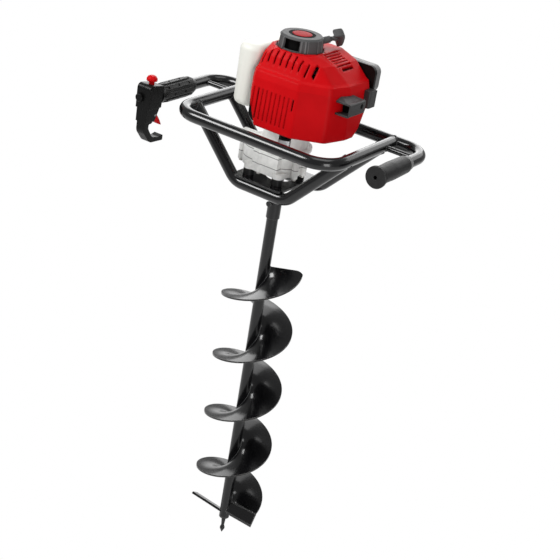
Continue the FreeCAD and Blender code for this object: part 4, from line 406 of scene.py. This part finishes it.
# ---- meshes --------------------------------------------------------------------------------------
def add_piece(name, verts, faces, mat, body, slot, smooth=True):
    """New piece that rides on `body`, or on nothing where that is None."""
    mesh = bpy.data.meshes.new(name)
    mesh.from_pydata([tuple(v) for v in verts], [], faces)
    mesh.update()
    build = bmesh.new()
    build.from_mesh(mesh)
    bmesh.ops.recalc_face_normals(build, faces=build.faces)
    build.to_mesh(mesh)
    build.free()
    for face in mesh.polygons:
        face.use_smooth = smooth
    mesh.materials.append(mat)
    piece = bpy.data.objects.new(name, mesh)
    bpy.context.scene.collection.objects.link(piece)
    if body:
        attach(piece, body)
    return piece


def polar(radius, angle, z):
    return Vector((radius * math.cos(angle), radius * math.sin(angle), z))


def circle(centre, side, other, radius, count):
    """Points round `centre`, in the plane of the unit vectors `side` and `other`."""
    turns = [TURN * k / count for k in range(count)]
    return [centre + (side * math.cos(t) + other * math.sin(t)) * radius for t in turns]


def skin(rows, closed=False):
    """Points and faces of a tube through rows of points, each a loop with the same count. The
    last row joins the first where it is closed, and both ends are capped where it isn't."""
    sides = len(rows[0])
    count = len(rows)
    faces = []
    for i in range(count if closed else count - 1):
        here, there = i * sides, (i + 1) % count * sides
        for k in range(sides):
            m = (k + 1) % sides
            faces.append((here + k, here + m, there + m, there + k))
    if not closed:
        faces.append(tuple(range(sides))[::-1])
        faces.append(tuple(range((count - 1) * sides, count * sides)))
    return [point for row in rows for point in row], faces


def join_meshes(parts):
    verts, faces = [], []
    for part_verts, part_faces in parts:
        start = len(verts)
        verts += part_verts
        faces += [tuple(start + i for i in face) for face in part_faces]
    return verts, faces


TUBE_GUIDE = Vector((0.31, 0.17, 0.93))     # runs along no tube, so it can square up their rings


def tube_mesh(path, radii, sides, closed):
    """A round bead along a path, with its own radius at each point."""
    last = len(path) - 1
    rows = []
    for i, point in enumerate(path):
        after = path[(i + 1) % len(path)] if closed else path[min(i + 1, last)]
        before = path[i - 1] if closed else path[max(i - 1, 0)]
        along = (after - before).normalized()
        side = along.cross(TUBE_GUIDE).normalized()
        rows.append(circle(point, side, along.cross(side), radii[i], sides))
    return skin(rows, closed)


# ---- welds ---------------------------------------------------------------------------------------
TUBE_R = (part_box("front_loop_tube")[1].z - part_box("front_loop_tube")[0].z) / 2
RING_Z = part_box("front_loop_tube")[1].z - TUBE_R
LOOP_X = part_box("front_loop_tube")[1].x - TUBE_R
HANDLE_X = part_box("handlebar_tube")[1].x - TUBE_R
REAR_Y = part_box("handlebar_tube")[1].y - TUBE_R
CRADLE_Y = (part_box("cradle_tubes")[0].y + TUBE_R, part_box("cradle_tubes")[1].y - TUBE_R)
CRADLE_FOOT_X = 0.056           # as in the source, since no box gives it
CRADLE_FOOT_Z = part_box("cradle_tubes")[0].z + TUBE_R
BRACE_R = (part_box("handle_braces")[1].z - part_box("handle_braces")[0].z) / 2
BRACE_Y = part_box("handle_braces")[1].y - BRACE_R
TUBE_BEAD = {"bead": 0.0015, "ripples": 70}
BRACE_BEAD = {"bead": 0.0012, "ripples": 36}

# The flight's helix, as in the source.
FLIGHT_PITCH, FLIGHT_THICK = 0.1365, 0.0035
FLIGHT_TURNS = 4 + 30 / 360
FLIGHT_FOOT_ANGLE = math.radians(2)


def rippled(bead, least, swell, phase):
    """Radius of a bead of weld, which swells with each dab."""
    return bead * (least + swell * abs(math.sin(phase)))


def weld_bead(origin, branch, host, branch_radius, host_radius, bead, ripples):
    """The ring of weld where a tube along `branch` meets a tube along `host` square on."""
    branch, host = Vector(branch).normalized(), Vector(host).normalized()
    across = branch.cross(host)
    path, radii = [], []
    steps = 168
    for i in range(steps):
        t = TURN * i / steps
        off = branch_radius * math.sin(t)
        along = math.sqrt(max(host_radius**2 - off**2, 0))
        level = branch_radius * math.cos(t)
        path.append(Vector(origin) + branch * along + host * level + across * off)
        radii.append(rippled(bead, 0.82, 0.28, ripples * t / 2))
    return tube_mesh(path, radii, 10, True)


def make_welds():
    """Beads on both sides of the frame: at the loop's legs, the cradle tubes and the braces."""
    beads = []
    for side in (-1, 1):
        leg = (side * LOOP_X, REAR_Y, RING_Z)
        beads.append(weld_bead(leg, -Y_AXIS, X_AXIS, TUBE_R, TUBE_R, **TUBE_BEAD))
        down = (side * (CRADLE_FOOT_X - LOOP_X), 0, CRADLE_FOOT_Z - RING_Z)
        for y in CRADLE_Y:
            top = (side * LOOP_X, y, RING_Z)
            beads.append(weld_bead(top, down, Y_AXIS, TUBE_R, TUBE_R, **TUBE_BEAD))
        for x, branch in ((LOOP_X, side * X_AXIS), (HANDLE_X, -side * X_AXIS)):
            end = (side * x, BRACE_Y, RING_Z)
            beads.append(weld_bead(end, branch, Y_AXIS, BRACE_R, TUBE_R, **BRACE_BEAD))
    add_piece("frame_welds", *join_meshes(beads), WELD_METAL, "machine", "frame_paint")


def make_flight_weld():
    """Fillet of weld along both faces of the flight, where it meets the shaft."""
    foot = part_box("auger_flight")[0].z
    radius, bead, stand_off = 0.0112, 0.0013, 0.0006
    steps = int(FLIGHT_TURNS * 150)
    beads = []
    for lift in (-stand_off, FLIGHT_THICK + stand_off):
        path, radii = [], []
        for i in range(steps + 1):
            angle = TURN * FLIGHT_TURNS * i / steps
            z = foot + FLIGHT_PITCH * angle / TURN + lift
            path.append(polar(radius, angle + FLIGHT_FOOT_ANGLE, z))
            radii.append(rippled(bead, 0.8, 0.3, angle * 18))
        beads.append(tube_mesh(path, radii, 8, False))
    add_piece("flight_weld", *join_meshes(beads), WELD_METAL, "bit", "bit_paint")


# ---- starter -------------------------------------------------------------------------------------
ROPE_AZIMUTH = math.atan2(0.0407, 0.0346)   # of the rope's outer end, seen from the starter's axis
ROPE_AXIS = Vector(
    next(j["axis"] for j in frame["joints"] if j["name"] == "handle_pull")
).normalized()
# Azimuth and width of each rib on the starter's side, in degrees.
DRUM_RIBS = (
    (-57, 5), (-46, 4), (-39, 2.5), (-110, 4), (-130, 4), (-182, 4),
    (-202, 4), (-254, 4), (-10, 3), (8, 3), (88, 3),
)


def make_badge():
    """Plain disc in the starter's cap: a low dome inside a rim."""
    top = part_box("starter_badge")[1].z
    rim, dome, rise = 0.0175, 0.0155, 0.0007
    seat, level = top - 0.0002, top + 0.0005
    profile = [
        (0.0005, seat), (rim, seat), (rim, top + 0.0003), (0.0168, top + 0.0006), (dome, level),
    ]
    profile += [
        (dome * math.cos(t), level + rise * math.sin(t)) for t in (0.4, 0.8, 1.2, 1.5)
    ]
    rows = [circle(Z_AXIS * z, X_AXIS, Y_AXIS, radius, 96) for radius, z in profile]
    add_piece("badge_disc", *skin(rows), BADGE_RED, "machine", "red_plastic")


def make_window_shade():
    """Dark sheet of painted shade inside the starter's windows, open where the rope runs."""
    gap, steps = math.radians(28), 96
    inner, outer = 0.0292, 0.0300
    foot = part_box("fan_housing")[1].z + 0.0022
    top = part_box("starter_badge")[0].z - 0.0032
    rows = []
    for i in range(steps + 1):
        t = ROPE_AZIMUTH + gap + (TURN - 2 * gap) * i / steps
        section = ((inner, foot), (outer, foot), (outer, top), (inner, top))
        rows.append([polar(radius, t, z) for radius, z in section])
    add_piece(
        "starter_window_shade", *skin(rows), SHADOW_BLACK, "machine", "dark_plastic", smooth=False,
    )


def make_drum_ribs():
    """Upright ribs at the edges of the starter's windows, and a close pair beside one."""
    # Height, inner radius and outer radius at the ribs' foot and top.
    foot = (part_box("starter_cover")[0].z + 0.0058, 0.0385, 0.0412)
    top = (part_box("starter_badge")[0].z - 0.0016, 0.0372, 0.0389)
    parts = []
    for azimuth, width in DRUM_RIBS:
        middle, half = math.radians(azimuth), math.radians(width) / 2
        rows = []
        for z, inner, outer in (foot, top):
            corners = ((-half, inner), (-half * 0.8, outer), (half * 0.8, outer), (half, inner))
            rows.append([polar(radius, middle + off, z) for off, radius in corners])
        parts.append(skin(rows))
    add_piece(
        "drum_ribs", *join_meshes(parts), DRUM_RIB, "machine", "grey_plastic", smooth=False,
    )


def rope_ends():
    """Start and end of the rope at rest, and its radius."""
    points = [v.co.copy() for v in NODES["starter_rope"].data.vertices]
    spans = [p.dot(ROPE_AXIS) for p in points]
    near = [p for p, span in zip(points, spans) if span < min(spans) + 0.0005]
    start = sum(near, Vector()) / len(near)
    radius = max((p - start - ROPE_AXIS * (p - start).dot(ROPE_AXIS)).length for p in near)
    return start, start + ROPE_AXIS * (max(spans) - min(spans)), radius


def make_rope():
    """Three-strand rope in place of the plain one. It runs straight out of the guide behind the handle."""
    start, end, radius = rope_ends()
    length = (end - start).length
    side = ROPE_AXIS.cross(Z_AXIS).normalized()
    other = ROPE_AXIS.cross(side)
    lay, sides = 0.0013, 18
    steps = int(length / lay * 18)
    rows = []
    for i in range(steps + 1):
        along = length * i / steps
        row = []
        for k in range(sides):
            t = TURN * k / sides
            lobe = abs(math.cos(1.5 * t - 3 * math.pi * along / lay))
            out = side * math.cos(t) + other * math.sin(t)
            row.append(start + ROPE_AXIS * along + out * radius * (0.80 + 0.19 * lobe))
        rows.append(row)
    rope = add_piece("rope_strands", *skin(rows), FINISH["rope_fibre"], None, "rope_fibre")
    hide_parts("starter_rope")
    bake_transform(rope)


def make_pull_grip():
    """Moulded T grip: a collared hub and a bowed bar, hooked at its upper end and blunt at its
    lower. Its sizes are in millimetres, with x along the rope, y across the bar and z along it."""
    end = rope_ends()[1]
    rise = math.asin(ROPE_AXIS.z)
    turn = math.atan2(ROPE_AXIS.y, ROPE_AXIS.x)
    roll = math.radians(40)
    lean = (
        Matrix.Rotation(turn, 3, "Z") @ Matrix.Rotation(-rise, 3, "Y")
        @ Matrix.Rotation(roll, 3, "X")
    )

    def put(x, y, z):
        return end + lean @ Vector((x, y, z)) / 1000

    hub_length, half, depth, width, hook = 19, 16.2, 13, 14, 8
    x0, x1 = hub_length - depth / 2, hub_length + depth / 2
    lower_end = [
        (x0 + 1.0, -half + 4), (x0 + 0.4, -half - 1.8), (x0 + 1.4, -half - 2.6),
        (x1 - 2.4, -half - 2.2), (x1 - 1.0, -half + 3),
    ]
    outer_bow = [(x1 - 0.1, -8), (x1, -2), (x1, 4), (x1 - 0.8, 9), (x1 - 2.6, half - 3.2)]
    upper_end = [
        (x1 - 5, half - 0.3), (x0 + 2, half + 0.6), (x0 - hook + 1.5, half + 0.8),
        (x0 - hook, half + 0.3), (x0 - hook, half - 2.8), (x0 - hook + 1, half - 3.8),
    ]
    inner_side = [(x0 - 1.4, half - 5), (x0, half - 7), (x0 + 0.6, 3), (x0 + 0.6, -5)]
    outline = lower_end + outer_bow + upper_end + inner_side

    # Each layer of the bar's width is the outline, drawn in towards this spine at the edges.
    middle = sum(x for x, z in outline) / len(outline)
    spine = [
        (middle + 1 if abs(z) < half - 5 else (x + middle) / 2, z * 0.97) for x, z in outline
    ]
    edges = ((width / 2, 0.82), (width / 2 - 1.0, 0.95), (width / 2 - 2.6, 1.0))
    layers = []
    for y, size in [(-y, size) for y, size in edges] + list(edges[::-1]):
        layers.append([
            put(sx + (x - sx) * size, y, sz + (z - sz) * size)
            for (x, z), (sx, sz) in zip(outline, spine)
        ])

    hub = [
        (3.4, 0.2), (4.3, 0.9), (4.3, 3.0), (3.7, 3.6), (3.7, 5.4), (4.4, 6.2), (4.9, 9.0),
        (5.4, hub_length - 3),
    ]
    turns = [TURN * k / 32 for k in range(32)]
    rings = [
        [put(x, radius * math.cos(t), radius * math.sin(t)) for t in turns] for radius, x in hub
    ]
    grip_mesh = join_meshes([skin(layers), skin(rings)])
    grip = add_piece("pull_grip", *grip_mesh, GREY_CASE, "pull_handle", "dark_plastic")
    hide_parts("starter_handle")


# ---- painted shade sheets ------------------------------------------------------------------------
def painted_shade_sheet(name, tree, centre, first, second, farthest, mat):
    """A dark flat sheet of painted shade in the plane of `first` and `second`. It fills a section of the hood,
    whose walls are in `tree`, and stops short of them or at `farthest`."""
    low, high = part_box("engine_cover")
    inset, thick, steps = 0.004, 0.0008, 72
    centre, first, second = Vector(centre), Vector(first), Vector(second)
    away = first.cross(second) * thick
    row = []
    for k in range(steps):
        t = TURN * k / steps
        ray = first * math.cos(t) + second * math.sin(t)
        hit = tree.ray_cast(centre, ray)
        reach = min(hit[3] if hit[0] else farthest, farthest) - inset
        point = centre + ray * reach
        held = [min(max(point[i], low[i] + inset), high[i] - inset) for i in range(3)]
        row.append(Vector(held))
    verts, faces = skin([row, [point + away for point in row]])
    add_piece(name, verts, faces, mat, "machine", "dark_plastic", smooth=False)


def make_painted_shade_sheets():
    """Dark sheets of painted shade that stand for the shadowed inside of the hood and the plug cover."""
    hood = NODES["engine_cover"].data
    tree = BVHTree.FromPolygons(
        [v.co for v in hood.vertices], [tuple(p.vertices) for p in hood.polygons],
    )
    low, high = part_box("engine_cover")
    # A point inside the hood in each painted shade sheet's plane, from which it reaches outwards.
    front = (0.0, low.y + 0.0078, low.z + 0.045)
    deck = (0.080, 0.0, high.z - 0.0215)
    slope = (0.012, low.y + 0.0245, high.z - 0.023)
    painted_shade_sheet("front_painted_shade", tree, front, X_AXIS, Z_AXIS, 0.055, SHADOW_BLACK)
    painted_shade_sheet("deck_painted_shade", tree, deck, X_AXIS, Y_AXIS, 0.036, SHADOW_RED)
    painted_shade_sheet("slope_painted_shade", tree, slope, X_AXIS, (0, 0.83, 0.55), 0.055, SHADOW_RED)

    # Painted shade: a dark sheet behind the plug cover's window.
    low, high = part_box("plug_cover")
    x0, x1, z0, z1 = low.x + 0.006, high.x - 0.0035, low.z + 0.0035, high.z - 0.0085
    front_y, thick, corner = low.y + 0.017, 0.001, 0.004
    outline = [(x0, z0), (x1, z0), (x1, z1 - corner), (x1 - corner, z1), (x0, z1)]
    rows = [[Vector((x, y, z)) for x, z in outline] for y in (front_y, front_y + thick)]
    add_piece(
        "plug_painted_shade", *skin(rows), SHADOW_BLACK, "machine", "dark_plastic", smooth=False,
    )


# ---- left grip and throttle housing --------------------------------------------------------------
def make_grip_ribs():
    """Raised lengthwise ribs of the left grip, between its rows of pads."""
    low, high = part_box("left_grip")
    axis_x, axis_z = (low.x + high.x) / 2, (low.z + high.z) / 2
    reach = (high.z - low.z) / 2 - 0.0009
    start_y, length = low.y + 0.008, high.y - low.y - 0.022
    bead, count, steps = 0.0015, 16, 28
    ribs = []
    for k in range(count):
        t = TURN * (k + 0.5) / count
        out = Vector((math.cos(t), 0, math.sin(t)))
        if out.x < -0.95:       # none beside the outermost row of pads
            continue
        path, radii = [], []
        for i in range(steps + 1):
            along = i / steps
            path.append(Vector((axis_x, start_y + along * length, axis_z)) + out * reach)
            radii.append(bead * min(1, 0.25 + 6 * min(along, 1 - along)))
        ribs.append(tube_mesh(path, radii, 8, False))
    add_piece("grip_ribs", *join_meshes(ribs), FINISH["rubber_black"], "machine", "rubber_black")


def socket_screw(centre, axis, radius, height):
    """A cap screw head with a hexagon socket, standing on `centre` and facing along `axis`."""
    centre, axis = Vector(centre), Vector(axis).normalized()
    side = axis.orthogonal().normalized()
    other = axis.cross(side)
    count = 24

    def hexagon(corner, z):
        """As many points as a circle has, on the flats of a hexagon."""
        row = []
        for k in range(count):
            t = TURN * k / count
            reach = corner * math.cos(math.pi / 6) / math.cos(t % (math.pi / 3) - math.pi / 6)
            row.append(centre + axis * z + (side * math.cos(t) + other * math.sin(t)) * reach)
        return row

    rims = ((radius, 0), (radius, height * 0.8), (radius * 0.88, height))
    rows = [circle(centre + axis * z, side, other, rim, count) for rim, z in rims]
    rows += [hexagon(radius * 0.55, height), hexagon(radius * 0.52, height * 0.4)]
    return skin(rows)


def make_screws():
    """Three screws in the outer half of the throttle housing."""
    low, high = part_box("throttle_housing_outer")
    radius, height = 0.0027, 0.0014
    places = (
        (low.y + 0.012, high.z - 0.012),
        (high.y - 0.011, high.z - 0.012),
        (low.y + 0.016, RING_Z - 0.02),
    )
    heads = [socket_screw((low.x + 0.0002, y, z), -X_AXIS, radius, height) for y, z in places]
    add_piece(
        "housing_screws", *join_meshes(heads), FINISH["zinc"], "machine", "zinc", smooth=False,
    )


dress_nodes()
make_welds()
make_flight_weld()
make_badge()
make_window_shade()
make_drum_ribs()
make_painted_shade_sheets()
make_rope()
make_pull_grip()
make_grip_ribs()
make_screws()
make_camera()
make_studio()
